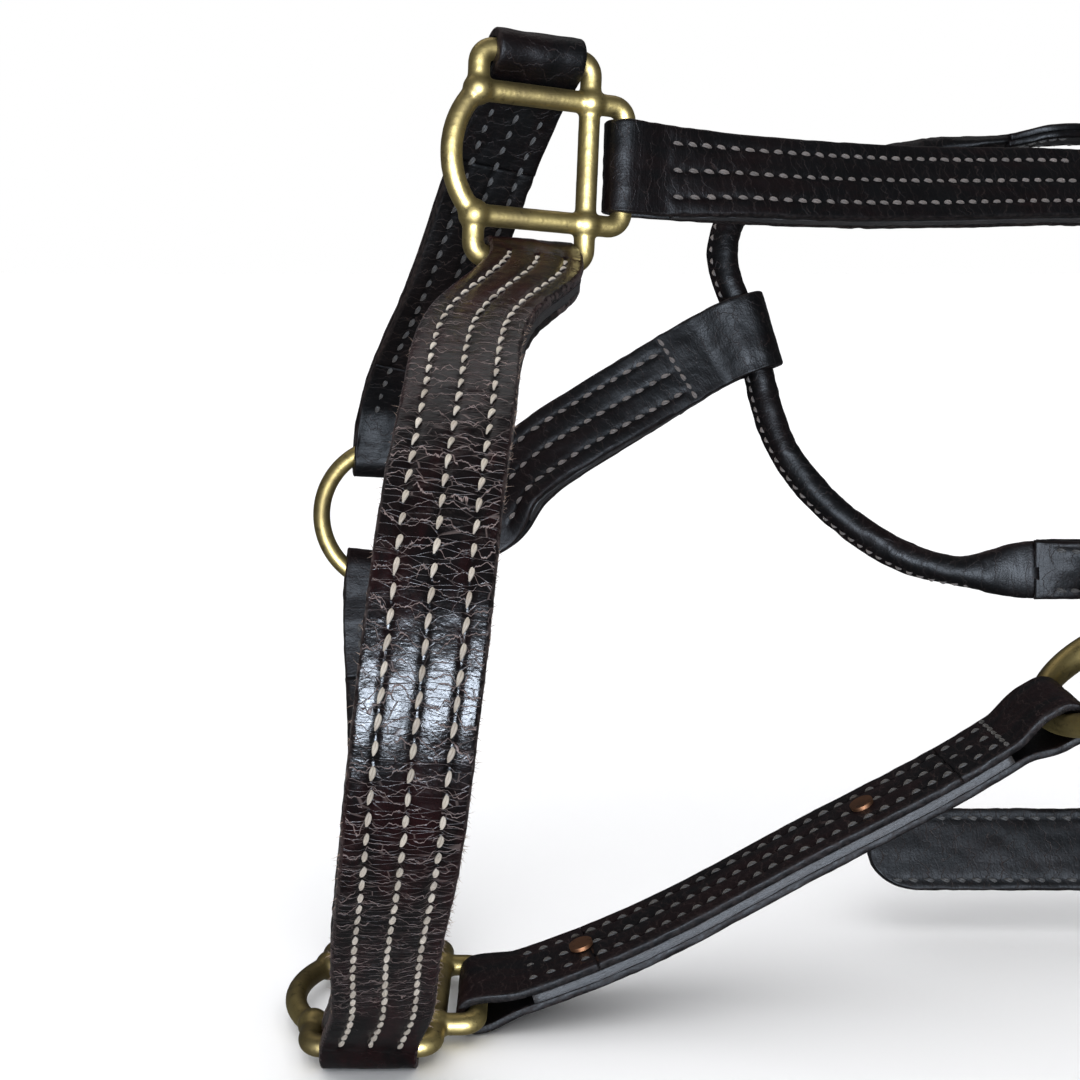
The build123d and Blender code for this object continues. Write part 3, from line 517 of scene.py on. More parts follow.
# Stitches
def strand_template(length, radius, lift, twist, sides, rings, fat):
    """Two strands twisted round each other, diving into a hole at both ends."""
    verts, faces = [], []
    for strand in (0, 1):
        base = len(verts)
        for i in range(rings):
            t = i / (rings - 1)
            x = (t - 0.5) * length
            z = lift * (math.sin(math.pi * t) ** 0.6) - 0.35
            thick = radius * (0.45 + 0.55 * math.sin(math.pi * t) ** 0.5)
            turn = twist * (t - 0.5) + strand * math.pi + 0.5
            cy, cz = fat * math.cos(turn) * thick, z + 0.55 * fat * math.sin(turn) * thick
            for j in range(sides):
                a = 2 * math.pi * j / sides
                verts.append((x, cy + thick * math.cos(a), cz + thick * math.sin(a)))
        for i in range(rings - 1):
            for j in range(sides):
                k = (j + 1) % sides
                faces.append([base + i * sides + j, base + i * sides + k, base + (i + 1) * sides + k,
                              base + (i + 1) * sides + j])
        faces.append([base + j for j in range(sides)][::-1])
        faces.append([base + (rings - 1) * sides + j for j in range(sides)])
    return np.array(verts), faces


def stitch_mesh(name, frames, pitch, radius=0.42, length=0.72, fine=True, seed=3):
    """Stitches joined into one piece, one at each (place, along, across, outward)."""
    rng = np.random.default_rng(seed)
    rings, sides = (9, 7) if fine else (7, 5)
    base, base_faces = strand_template(pitch * length, radius, 0.56, 2.6, sides, rings, 0.85)
    verts, faces, tone = [], [], []
    for k, (at, along, across, outward) in enumerate(frames):
        size = rng.normal(1.0, 0.07)
        angle = math.radians(STITCH_SLANT + rng.normal(0, 3.5))
        x = along * math.cos(angle) + across * math.sin(angle)
        y = across * math.cos(angle) - along * math.sin(angle)
        local = base * (rng.normal(1.0, 0.05), size, size)
        verts.append(at + local[:, :1] * x + local[:, 1:2] * y + local[:, 2:] * outward)
        faces += [[q + k * len(base) for q in face] for face in base_faces]
        tone.append(np.full(len(base), rng.uniform(0, 1)))
    return add_mesh(name, np.concatenate(verts), faces, {"tone": np.concatenate(tone)})


def row_frames(spine, side, height, rows, begin, end, pitch=STITCH_PITCH):
    """Places of stitches in rows along one face of a strap."""
    s = begin + (np.arange(int(round((end - begin) / pitch))) + 0.5) * pitch
    p, d, w, n = spine.at(s)
    n = n * side
    return [(p[k] + w[k] * r + n[k] * height, d[k], w[k] * side, n[k]) for r in rows for k in range(len(s))]


def cross_frames(spine, side, height, at, reach, pitch):
    """Places of stitches in one row across a strap."""
    p, d, w, n = (q[0] for q in spine.at([at]))
    places = np.arange(-reach, reach + 0.1, pitch)
    return [(p + w * r + n * side * height, w, d, n * side) for r in places]


# Materials
class Nodes:
    """Short-hand for building a material's node tree."""

    def __init__(self, name):
        self.mat = bpy.data.materials.new(name)
        self.mat.use_nodes = True
        self.tree = self.mat.node_tree
        self.tree.nodes.clear()
        self.out = self.new("ShaderNodeOutputMaterial")
        self.shader = self.new("ShaderNodeBsdfPrincipled")
        self.link(self.shader.outputs[0], self.out.inputs[0])

    def new(self, kind, **props):
        node = self.tree.nodes.new(kind)
        for key, value in props.items():
            setattr(node, key, value)
        return node

    def link(self, a, b):
        self.tree.links.new(a, b)

    def put(self, node, socket, value):
        target = node.inputs[socket]
        if isinstance(value, bpy.types.NodeSocket):
            self.link(value, target)
        else:
            target.default_value = value

    def attr(self, name, vector=False):
        node = self.new("ShaderNodeAttribute", attribute_name=name)
        return node.outputs["Vector" if vector else "Fac"]

    def noise(self, vector, scale, detail=4.0, rough=0.6, distortion=0.0):
        node = self.new("ShaderNodeTexNoise")
        self.put(node, "Vector", vector)
        self.put(node, "Scale", scale)
        self.put(node, "Detail", detail)
        self.put(node, "Roughness", rough)
        self.put(node, "Distortion", distortion)
        return node.outputs["Fac"]

    def voronoi(self, vector, scale, feature="F1"):
        node = self.new("ShaderNodeTexVoronoi", feature=feature)
        self.put(node, "Vector", vector)
        self.put(node, "Scale", scale)
        return node.outputs["Distance"]

    def scaled(self, vector, scale):
        node = self.new("ShaderNodeVectorMath", operation="MULTIPLY")
        self.put(node, 0, vector)
        node.inputs[1].default_value = scale
        return node.outputs[0]

    def math(self, op, a, b=None, clamp=False):
        node = self.new("ShaderNodeMath", operation=op, use_clamp=clamp)
        self.put(node, 0, a)
        if b is not None:
            self.put(node, 1, b)
        return node.outputs[0]

    def times(self, a, b, clamp=False):
        return self.math("MULTIPLY", a, b, clamp)

    def plus(self, a, b, clamp=False):
        return self.math("ADD", a, b, clamp)

    def ramp(self, value, stops, smooth=False):
        node = self.new("ShaderNodeValToRGB")
        if smooth:
            node.color_ramp.interpolation = "EASE"
        elements = node.color_ramp.elements
        while len(elements) < len(stops):
            elements.new(0.5)
        for element, (place, colour) in zip(elements, stops):
            element.position = place
            element.color = colour if hasattr(colour, "__len__") else (colour, colour, colour, 1)
        self.put(node, "Fac", value)
        return node.outputs[0]

    def blend(self, factor, a, b, mode="MIX"):
        node = self.new("ShaderNodeMix", data_type="RGBA", blend_type=mode)
        self.put(node, "Factor", factor)
        self.put(node, 6, a)
        self.put(node, 7, b)
        return node.outputs[2]

    def bump(self, height, distance, strength=1.0, normal=None):
        node = self.new("ShaderNodeBump")
        self.put(node, "Height", height)
        self.put(node, "Distance", distance)
        self.put(node, "Strength", strength)
        if normal is not None:
            self.put(node, "Normal", normal)
        return node.outputs[0]

    def object_coords(self):
        return self.new("ShaderNodeTexCoord").outputs["Object"]


def rgb(r, g, b):
    return (r, g, b, 1.0)


def crack_lines(m, strap, per_mm, shift):
    """Thin wavy lines across a strap, about per_mm of them to a millimetre of its length."""
    place = m.new("ShaderNodeSeparateXYZ")
    m.put(place, 0, strap)
    moved = m.new("ShaderNodeVectorMath", operation="ADD")
    m.put(moved, 0, strap)
    moved.inputs[1].default_value = (shift, 0.6 * shift, 0.0)
    moved = moved.outputs[0]
    drift = m.times(m.noise(m.scaled(moved, (0.05, 0.12, 0.0)), 1.0, 1.0), 2.2)
    wiggle = m.times(m.noise(m.scaled(moved, (0.16, 0.45, 0.0)), 1.0, 3.0, 0.5), 0.75)
    phase = m.plus(m.times(place.outputs[0], per_mm), m.plus(drift, wiggle))
    away = m.math("ABSOLUTE", m.math("SUBTRACT", m.math("FRACT", phase), 0.5))
    line = m.ramp(away, [(0.0, 1.0), (0.013, 0.75), (0.028, 0.0)])
    shown = m.ramp(m.noise(m.scaled(moved, (0.22, 0.13, 0.0)), 1.0, 2.0), [(0.40, 0.0), (0.50, 1.0)], True)
    return m.times(line, shown)


def leather_material(name, dark, warm, worn, gloss, warm_amount, crack_amount, specular):
    """Worn bridle leather: mottled dark dye, warm rub-through, fine grain and pale cracks."""
    m = Nodes(name)
    strap = m.attr("strap", True)
    obj = m.object_coords()
    blotch = m.noise(m.scaled(strap, (0.035, 0.11, 0.3)), 1.0, 5.0, 0.62, 0.4)
    warmth = m.ramp(blotch, [(0.42, 0.0), (0.66, 1.0)], True)
    warmth = m.times(warmth, warm_amount)
    base = m.blend(warmth, rgb(*dark), rgb(*warm))
    mottle = m.noise(obj, 260.0, 5.0, 0.7)
    base = m.blend(m.ramp(mottle, [(0.35, 0.0), (0.75, 0.45)]), base, rgb(*[c * 0.45 for c in dark]))
    # wavy pale cracks across the strap, broken into short runs
    lines = m.math("MAXIMUM", crack_lines(m, strap, 0.22, 0.0), crack_lines(m, strap, 0.15, 70.0))
    craze = m.voronoi(m.scaled(strap, (0.55, 0.16, 0.2)), 1.0, "DISTANCE_TO_EDGE")
    fine_lines = m.ramp(craze, [(0.0, 0.3), (0.015, 0.2), (0.028, 0.0)])
    lines = m.math("MAXIMUM", lines, fine_lines)
    patch = m.ramp(m.noise(m.scaled(strap, (0.05, 0.12, 0.1)), 1.0, 3.0), [(0.34, 0.35), (0.52, 1.0)], True)
    lines = m.times(m.times(lines, patch), crack_amount, True)
    lines = m.times(lines, m.attr("aged"))
    cracks = m.math("MAXIMUM", lines, m.times(m.attr("wear"), 0.06))
    cracks = m.times(cracks, m.attr("topface"))
    base = m.blend(m.times(cracks, 0.9, True), base, rgb(*worn))
    # rubbed brown arrises, and the leather made darker along the stitch grooves
    separate = m.new("ShaderNodeSeparateXYZ")
    m.put(separate, 0, strap)
    across = m.math("ABSOLUTE", separate.outputs[1])
    rim = m.ramp(m.math("DIVIDE", across, 12.7), [(0.93, 0.0), (0.995, 1.0)])
    broken = m.noise(m.scaled(strap, (0.6, 0.8, 0.8)), 1.0, 4.0)
    rim = m.times(rim, m.ramp(broken, [(0.42, 0.1), (0.7, 1.0)]))
    base = m.blend(m.times(rim, 0.5), base, rgb(*[c * 0.5 for c in worn]))
    base = m.blend(m.times(m.attr("groove"), 0.45), base, rgb(*[c * 0.35 for c in dark]))
    m.put(m.shader, "Base Color", base)
    rough = m.noise(obj, 90.0, 4.0, 0.6)
    rough = m.plus(m.times(rough, 0.26), gloss - 0.1)
    rough = m.plus(rough, m.times(cracks, 0.3))
    rough = m.plus(rough, m.times(rim, 0.25), True)
    m.put(m.shader, "Roughness", rough)
    pores = m.voronoi(obj, 1500.0)
    fine = m.noise(obj, 900.0, 6.0, 0.65)
    creases = m.noise(m.scaled(strap, (1.1, 0.28, 0.4)), 1.0, 5.0, 0.6, 0.5)
    n1 = m.bump(m.plus(m.times(pores, 0.5), fine), 0.00012, 0.5)
    n2 = m.bump(creases, 0.0005, 0.22, n1)
    n3 = m.bump(m.times(cracks, -1.0), 0.0003, 0.7, n2)
    m.put(m.shader, "Normal", n3)
    m.put(m.shader, "Specular IOR Level", specular)
    return m.mat


def edge_material(name, dark, brown):
    """Cut and rubbed edge of stacked leather, with lengthwise fibres."""
    m = Nodes(name)
    strap = m.attr("strap", True)
    obj = m.object_coords()
    fibres = m.noise(m.scaled(strap, (0.25, 1.2, 3.0)), 1.0, 6.0, 0.7)
    patch = m.noise(m.scaled(strap, (0.08, 0.2, 0.6)), 1.0, 3.0)
    base = m.blend(m.ramp(fibres, [(0.38, 0.0), (0.72, 1.0)]), rgb(*dark), rgb(*brown))
    base = m.blend(m.ramp(patch, [(0.45, 0.0), (0.65, 0.8)]), base, rgb(*dark))
    m.put(m.shader, "Base Color", base)
    m.put(m.shader, "Roughness", m.plus(m.times(fibres, 0.25), 0.45))
    m.put(m.shader, "Normal", m.bump(m.plus(fibres, m.noise(obj, 700.0, 5.0)), 0.0004, 0.6))
    return m.mat


def thread_material(name, clean, dirty, dirt):
    m = Nodes(name)
    obj = m.object_coords()
    grime = m.noise(obj, 160.0, 4.0, 0.65)
    soiling = m.ramp(grime, [(0.5 - 0.3 * dirt, 0.0), (0.85 - 0.2 * dirt, 1.0)])
    base = m.blend(soiling, rgb(*clean), rgb(*dirty))
    tone = m.ramp(m.attr("tone"), [(0.0, rgb(0.72, 0.7, 0.66)), (1.0, rgb(1, 1, 1))])
    base = m.blend(1.0, base, tone, "MULTIPLY")
    m.put(m.shader, "Base Color", base)
    m.put(m.shader, "Roughness", 0.72)
    m.put(m.shader, "Sheen Weight", 0.25)
    m.put(m.shader, "Sheen Roughness", 0.5)
    fibre = m.noise(obj, 2200.0, 3.0)
    m.put(m.shader, "Normal", m.bump(fibre, 0.00015, 0.6))
    return m.mat


def brass_material(name, light, dull, tarnish):
    """Aged cast brass: satin, scratched, browner in its hollows."""
    m = Nodes(name)
    obj = m.object_coords()
    cloud = m.noise(obj, 55.0, 5.0, 0.6)
    spots = m.noise(obj, 420.0, 4.0, 0.7)
    base = m.blend(m.ramp(cloud, [(0.38, 0.0), (0.66, 1.0)], True), rgb(*light), rgb(*dull))
    base = m.blend(m.ramp(spots, [(0.56, 0.0), (0.74, 0.75)]), base, rgb(*tarnish))
    pointy = m.new("ShaderNodeNewGeometry").outputs["Pointiness"]
    hollow = m.ramp(pointy, [(0.43, 1.0), (0.495, 0.0)])
    base = m.blend(m.times(hollow, 0.55), base, rgb(*tarnish))
    m.put(m.shader, "Base Color", base)
    m.put(m.shader, "Metallic", 1.0)
    scratch = m.noise(m.scaled(obj, (1, 1, 9)), 240.0, 6.0, 0.75)
    rough = m.plus(m.times(scratch, 0.22), m.times(cloud, 0.14))
    m.put(m.shader, "Roughness", m.plus(rough, 0.28, True))
    height = m.plus(m.times(spots, 0.5), m.noise(obj, 130.0, 4.0))
    m.put(m.shader, "Normal", m.bump(height, 0.0003, 0.35))
    return m.mat


FACE = leather_material(
    "bridle_leather", dark=(0.0042, 0.0028, 0.0032), warm=(0.020, 0.0036, 0.0045), worn=(0.36, 0.275, 0.265),
    gloss=0.21, warm_amount=0.8, crack_amount=1.0, specular=0.2)
DULL = leather_material(
    "dark_leather", dark=(0.0026, 0.0022, 0.0028), warm=(0.011, 0.0030, 0.0032), worn=(0.10, 0.065, 0.06),
    gloss=0.42, warm_amount=0.5, crack_amount=0.25, specular=0.12)
INNER = leather_material(
    "lining_leather", dark=(0.0036, 0.0032, 0.0036), warm=(0.011, 0.005, 0.0045), worn=(0.12, 0.08, 0.07),
    gloss=0.45, warm_amount=0.5, crack_amount=0.35, specular=0.10)
CORE = edge_material("core_leather", (0.012, 0.009, 0.0088), (0.045, 0.028, 0.022))
THREAD = thread_material("cream_thread", (0.60, 0.54, 0.46), (0.30, 0.24, 0.19), 0.3)
MUTED = thread_material("muted_thread", (0.17, 0.135, 0.12), (0.085, 0.062, 0.052), 0.4)
SOILED = thread_material("soiled_thread", (0.055, 0.046, 0.038), (0.02, 0.016, 0.014), 0.6)
FIBRE = thread_material("raw_fibre", (0.50, 0.35, 0.26), (0.22, 0.12, 0.085), 0.5)
BRASS = brass_material("aged_brass", (0.36, 0.27, 0.105), (0.19, 0.14, 0.06), (0.06, 0.043, 0.023))
COPPER = brass_material("dull_copper", (0.26, 0.12, 0.06), (0.13, 0.065, 0.038), (0.04, 0.022, 0.016))


def dress(obj, material):
    obj.data.materials.clear()
    obj.data.materials.append(material)


def finish_piece(obj, material, body, nodes=()):
    dress(obj, material)
    if nodes:
        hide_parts(*nodes)
    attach(obj, body)
    return obj


# The straps
def sew(title, spine, side, height, rows, begin, end, thread, fine, seed, cross=()):
    """Rows of stitches on one face, and short rows across it."""
    frames = row_frames(spine, side, height, rows, begin, end)
    for at in cross:
        frames += cross_frames(spine, side, height, at, 10.2, 3.4)
    radius, length = (0.35, 0.72) if fine else (0.38, 0.62)
    piece = stitch_mesh(title, frames, STITCH_PITCH, radius, length, fine, seed=seed)
    finish_piece(piece, thread, "halter")


def three_ply_strap(title, spine, side, loops, material, lining_material, step, dw, seed, unsewn,
                    face_thread, back_thread=SOILED, crack=None, fine=False, cross=()):
    """Face wrapped round both loops, core and lining, with three rows of stitches through them."""
    reference = spine.at([spine.length / 2])[3][0] * side
    begin, end = unsewn[0], spine.length - unsewn[1]
    path = ply_path(spine, side, THREE_PLY, loops, FOLD_BACK, step)
    face = ply_mesh(title + "_face_leather", path, STRAP_WIDTH, LAYER, reference, dw, ROWS, STITCH_PITCH,
                    (begin, end), crack, seed, puff=BAND_PUFF)
    finish_piece(face, material, "halter", [title + "_face"])
    clear = [loop[1] + LOOP_BLEND + 2.0 for loop in loops]
    core_path = plain_path(spine, side, 0.0, clear[0], spine.length - clear[1], 2.0)
    core = ply_mesh(title + "_core_leather", core_path, STRAP_WIDTH, LAYER + PLY_GAP, reference, 3.0,
                    seed=seed + 20, edge_radius=0.15)
    finish_piece(core, CORE, "halter", [title + "_filler"])
    a, b = FOLD_BACK + LINING_GAP, spine.length - FOLD_BACK - LINING_GAP
    lining_path = plain_path(spine, -side, THREE_PLY, a, b, step)
    lining = ply_mesh(title + "_lining_leather", lining_path, STRAP_WIDTH, LAYER, -reference, dw, ROWS,
                      STITCH_PITCH, (begin, end), None, seed + 40, puff=BAND_PUFF * 0.6)
    finish_piece(lining, lining_material, "halter", [title + "_lining"])
    height = THREE_PLY + LAYER / 2 - STITCH_SINK
    across = [spine.length - q for q in cross]
    sew(title + "_face_stitches", spine, side, height, ROWS, begin, end, face_thread, fine, seed + 60, across)
    sew(title + "_back_stitches", spine, -side, height, ROWS, begin, end, back_thread, fine, seed + 70,
        across)


def two_ply_strap(title, nodes, spine, side, loops, rows, unsewn, step, dw, seed, layer=LAYER, ply=TWO_PLY,
                  taper=None, holes=()):
    """Outer ply wrapped round its loops and a lining, with rows of stitches through both."""
    reference = spine.at([spine.length / 2])[3][0] * side
    begin, end = unsewn[0], spine.length - unsewn[1]
    path = ply_path(spine, side, ply, loops, FOLD_BACK, step)
    face = ply_mesh(title + "_outer_leather", path, STRAP_WIDTH, layer, reference, dw, rows, STITCH_PITCH,
                    (begin, end), None, seed, puff=0.12, taper=taper)
    a = FOLD_BACK + LINING_GAP
    b = spine.length - (FOLD_BACK + LINING_GAP if loops[1] else 0.0)
    lining_path = plain_path(spine, -side, ply, a, b, step)
    lining = ply_mesh(title + "_inner_leather", lining_path, STRAP_WIDTH, layer, -reference, dw, rows,
                      STITCH_PITCH, (begin, end), None, seed + 40, puff=0.08, taper=taper)
    if holes:
        cut_through(face, holes)
        cut_through(lining, holes)
    finish_piece(face, DULL, "halter", [nodes[0]])
    finish_piece(lining, INNER, "halter", [nodes[1]])
    height = ply + layer / 2 - STITCH_SINK
    sew(title + "_outer_stitches", spine, side, height, rows, begin, end, SOILED, False, seed + 60)
    sew(title + "_inner_stitches", spine, -side, height, rows, begin, end, SOILED, False, seed + 70)


def plug(outline, at, x, y, z, depth):
    """Straight plug along z, used to cut a hole and then removed."""
    count = len(outline)
    verts = [at + x * u + y * v + z * h for h in (0.0, depth) for u, v in outline]
    faces = [[j, (j + 1) % count, count + (j + 1) % count, count + j] for j in range(count)]
    faces += [list(range(count))[::-1], list(range(count, 2 * count))]
    obj = add_mesh("plug", verts, faces, smooth=False)
    fix_normals(obj)
    return obj


def apply_modifiers(obj):
    bpy.context.view_layer.update()
    evaluated = obj.evaluated_get(bpy.context.evaluated_depsgraph_get())
    mesh = bpy.data.meshes.new_from_object(evaluated)
    obj.modifiers.clear()
    obj.data = mesh
    mesh.shade_smooth()


def cut_through(obj, plugs):
    for tool in plugs:
        change = obj.modifiers.new("cut", "BOOLEAN")
        change.object = tool
        change.solver = "EXACT"
    apply_modifiers(obj)


def slot_outline(length, width):
    reach = (length - width) / 2
    angles = np.linspace(-90, 90, 9)
    turns = [math.radians(a) for a in angles]
    right = [(reach + width / 2 * math.cos(a), width / 2 * math.sin(a)) for a in turns]
    return right + [(-u, -v) for u, v in right]


NOSE = noseband_spine()
three_ply_strap("noseband", NOSE, 1, (BAR_LOOP, BAR_LOOP), FACE, INNER, 0.5, 0.42, 100, (9.0, 8.0), THREAD,
                back_thread=THREAD, crack=(26.0, 285.0, 1.1), fine=True)
three_ply_strap("off_cheek", off_cheek_spine(), 1, (BAR_LOOP, CHEEK_RING_LOOP), DULL, INNER, 0.8, 0.7, 200,
                (13.0, 20.0), MUTED)
three_ply_strap("near_cheek", near_cheek_spine(), -1, (BAR_LOOP, CHEEK_RING_LOOP), DULL, DULL, 0.8, 0.7, 300,
                (14.0, 20.0), SOILED, cross=(18.0,))
three_ply_strap("throat_connector", connector_spine(), 1, (CHIN_RING_LOOP, CONNECTOR_ROLL_LOOP), DULL, INNER,
                0.8, 0.7, 400, (16.0, 30.0), MUTED, cross=(28.0,))
two_ply_strap("off_chin", ("off_chin_face", "off_chin_lining"), off_chin_spine(), -1,
              (BAR_LOOP, CHIN_RING_LOOP), ROWS, (16.0, 16.0), 0.9, 0.9, 500)
two_ply_strap("near_chin", ("near_chin_face", "near_chin_lining"), near_chin_spine(), -1,
              (CHIN_RING_LOOP, BAR_LOOP), ROWS, (16.0, 16.0), 0.9, 0.9, 600)
CROWN = crown_spine()


def tip_taper(s):
    d = np.clip((CROWN.length - s) / (STRAP_WIDTH * 0.62), 0, 1)
    return np.sqrt(np.clip(1 - (1 - d) ** 2, 0.0004, 1))


def buckle_plugs():
    """Plugs for the crown's tongue slot and spare holes, and for the chape's slot."""
    origin, along, across, inward = BUCKLE
    start = origin + along * TONGUE_SLOT_AT - inward * 14.0
    crown = [plug(slot_outline(17.5, 4.6), start, along, across, inward, 18.0)]
    turns = np.linspace(0, 2 * math.pi, 20, endpoint=False)
    circle = [(BILLET_HOLE_RADIUS * math.cos(a), BILLET_HOLE_RADIUS * math.sin(a)) for a in turns]
    for k in range(1, BILLET_HOLES + 1):
        spot = origin - along * (k * BILLET_HOLE_PITCH - TONGUE_SLOT_AT) - inward * 14.0
        crown.append(plug(circle, spot, along, across, inward, 12.0))
    chape = [plug(slot_outline(18.0, 4.6), origin + along - inward * 7.0, along, across, inward, 14.0)]
    return crown, chape


CROWN_PLUGS, CHAPE_PLUGS = buckle_plugs()
two_ply_strap("crown", ("crown_outer", "crown_lining"), CROWN, 1, (CROWN_RING_LOOP, None), EDGE_ROWS,
              (18.0, 8.0), 1.2, 1.0, 700, CROWN_LAYER, CROWN_PLY, taper=tip_taper, holes=CROWN_PLUGS)
two_ply_strap("crown_chape", ("crown_chape_outer", "crown_chape_lining"), chape_spine(), -1,
              (CHAPE_RING_LOOP, HEEL_LOOP), EDGE_ROWS, (18.0, 22.0), 1.0, 1.0, 800, holes=CHAPE_PLUGS)
for tool in CROWN_PLUGS + CHAPE_PLUGS:
    bpy.data.objects.remove(tool)


def keeper_band(node, at, body):
    """Creased leather band round the chape and the crown's tail, butted beneath them."""
    origin, along, across, inward = BUCKLE
    half = STRAP_WIDTH / 2 + KEEPER_CLEARANCE + KEEPER_THICKNESS / 2
    low = TWO_PLY + LAYER / 2 + KEEPER_CLEARANCE + KEEPER_THICKNESS / 2
    high = CROWN_OVER_HEEL + CROWN_PLY + CROWN_LAYER / 2 + KEEPER_CLEARANCE + KEEPER_THICKNESS / 2
    bend = 1.3
    corners = ((half - bend, low - bend, 0), (half - bend, bend - high, 90), (bend - half, bend - high, 180),
               (bend - half, low - bend, 270))
    route = [(0.0, low)]
    for u, v, begin in corners:
        for a in np.radians(np.linspace(begin, begin + 90, 7)):
            route.append((u + bend * math.sin(a), v + bend * math.cos(a)))
    route = np.array(route + [(0.0, low)])
    length = np.concatenate(([0.0], np.cumsum(np.linalg.norm(np.diff(route, axis=0), axis=1))))
    s = np.arange(0.0, length[-1] - 0.02, 0.5)
    u, v = np.interp(s, length, route[:, 0]), np.interp(s, length, route[:, 1])
    points = origin + along * at + u[:, None] * across + v[:, None] * inward
    path = (points, np.repeat(along[None, :], len(s), 0), s, np.zeros(len(s)))
    band = ply_mesh(node + "_leather", path, KEEPER_LENGTH, KEEPER_THICKNESS - 0.1, -inward, 0.5, (-3.6, 3.6),
                    2.2, (0.0, length[-1]), None, 950, 0.6, 0.12)
    finish_piece(band, DULL, body, [node])


keeper_band("fixed_keeper", FIXED_KEEPER_AT, "halter")
keeper_band("sliding_keeper", SLIDING_KEEPER_AT, "loose_keeper")


def loose_fibres(name, spine, side, edge, low, high, begin, end, count, seed):
    """Short fibres that stand off one worn edge of a strap."""
    rng = np.random.default_rng(seed)
    verts, faces = [], []
    for k in range(count):
        p, d, w, n = (q[0] for q in spine.at([rng.uniform(begin, end)]))
        n = n * side
        at = p + w * edge + n * rng.uniform(low, high)
        way = d * rng.normal(0, 1.0) + w * np.sign(edge) * rng.uniform(0.2, 0.8)
        way = unit(way + n * rng.uniform(-0.2, 0.7))
        curl = unit(np.cross(way, n) + n * rng.normal(0, 0.6)) * rng.normal(0, 0.35)
        reach, thick = rng.uniform(0.6, 1.9), rng.uniform(0.05, 0.10)
        side_a = unit(np.cross(way, (0.3, 0.5, 0.8)))
        side_b = np.cross(way, side_a)
        for i in range(5):
            q = i / 4
            middle = at + way * reach * q + curl * reach * q * q
            for j in range(3):
                a = 2 * math.pi * j / 3
                verts.append(middle + (side_a * math.cos(a) + side_b * math.sin(a)) * thick * (1.1 - q))
        base = k * 15
        faces += (grid_faces(5, 3) + base).tolist()
    piece = add_mesh(name, np.array(verts), faces, {"tone": rng.uniform(0, 1, count).repeat(15)})
    finish_piece(piece, FIBRE, "halter")


loose_fibres("noseband_fibres_right", NOSE, 1, STRAP_WIDTH / 2 - 0.15, 1.2, 3.6, 55.0, 290.0, 420, 41)
loose_fibres("noseband_fibres_left", NOSE, 1, 0.15 - STRAP_WIDTH / 2, 1.2, 3.6, 60.0, 280.0, 130, 43)


# Rolled throatlatch
def build_roll():
    spine = throat_spine()
    n = int(spine.length / 0.9)
    lap = 2.0
    s = np.linspace(0, spine.length, n)
    p, d, w, nn = spine.at(s)
    p[0], p[-1] = p[0] - d[0] * lap, p[-1] + d[-1] * lap
    m = 40
    a = np.linspace(0, 2 * math.pi, m, endpoint=False)
    open_out = 1 - ease(np.minimum(s, spine.length - s) / 26.0)
    wide = ROLL_RADIUS * (1 - open_out) + THROAT_WIDTH / 2 * open_out
    thick = (ROLL_RADIUS - 0.05) * (1 - open_out) + 2.6 * open_out
    sg, ag = np.meshgrid(s, a, indexing="ij")
    middle = np.clip(np.minimum(sg, spine.length - sg) / 30.0 - 0.5, 0, 1)
    seam = middle * np.exp(-((ag - math.pi) / 0.17) ** 2)
    wrinkle = seam + 0.16 * field_noise(31, sg, ag * 3.0, 5.0, 3.0)
    wrinkle = wrinkle + 0.07 * field_noise(37, sg, ag * 3.0, 1.8, 2.0)
    verts = (p[:, None, :] + w[:, None, :] * (np.cos(ag) * (wide[:, None] + wrinkle - 0.2))[:, :, None]
             + nn[:, None, :] * (np.sin(ag) * (thick[:, None] + wrinkle - 0.2))[:, :, None])
    strap = np.stack([sg, ag * ROLL_RADIUS - 14.0, np.zeros_like(sg)], -1).reshape(-1, 3)
    zero = np.zeros(n * m)
    attributes = {"aged": zero + 1, "strap": strap, "wear": zero, "groove": zero, "topface": zero + 1}
    obj = add_mesh("throatlatch_roll_leather", verts.reshape(-1, 3), capped_tube(n, m), attributes)
    fix_normals(obj)
    finish_piece(obj, DULL, "halter", ["throatlatch_roll"])
    places = np.arange(18.0, spine.length - 18.0, SEAM_PITCH)
    p, d, w, nn = spine.at(places)
    out = -w * math.cos(0.36) + nn * math.sin(0.36)
    over = np.cross(d, out)
    frames = [(p[k] + out[k] * (ROLL_RADIUS - 0.05), d[k], over[k], out[k]) for k in range(len(places))]
    seam_stitches = stitch_mesh("throatlatch_seam_stitches", frames, SEAM_PITCH, 0.3, 0.7, False, seed=33)
    finish_piece(seam_stitches, MUTED, "halter")


build_roll()


def throat_end_piece(title, spine, at_end, loop):
    loops = (None, loop) if at_end else (loop, None)
    reference = spine.at([spine.length / 2])[3][0]
    path = ply_path(spine, 1, TWO_PLY, loops, spine.length - 1.0, 0.9)
    a, b = (6.0, spine.length - 20.0) if at_end else (20.0, spine.length - 6.0)
    obj = ply_mesh(title + "_leather", path, THROAT_WIDTH, LAYER, reference, 1.0, THROAT_ROWS, THROAT_PITCH,
                   (a, b), None, 900, puff=0.1)
    finish_piece(obj, DULL, "halter", [title])
    height = TWO_PLY + LAYER / 2 - STITCH_SINK
    frames = row_frames(spine, 1, height, THROAT_ROWS, a, b, THROAT_PITCH)
    stitches = stitch_mesh(title + "_stitches", frames, THROAT_PITCH, fine=False, seed=910)
    finish_piece(stitches, SOILED, "halter")


throat_end_piece("throatlatch_off_end", throat_off_spine(), False, THROAT_RING_LOOP)
throat_end_piece("throatlatch_near_end", throat_near_spine(), True, SNAP_EYE_LOOP)


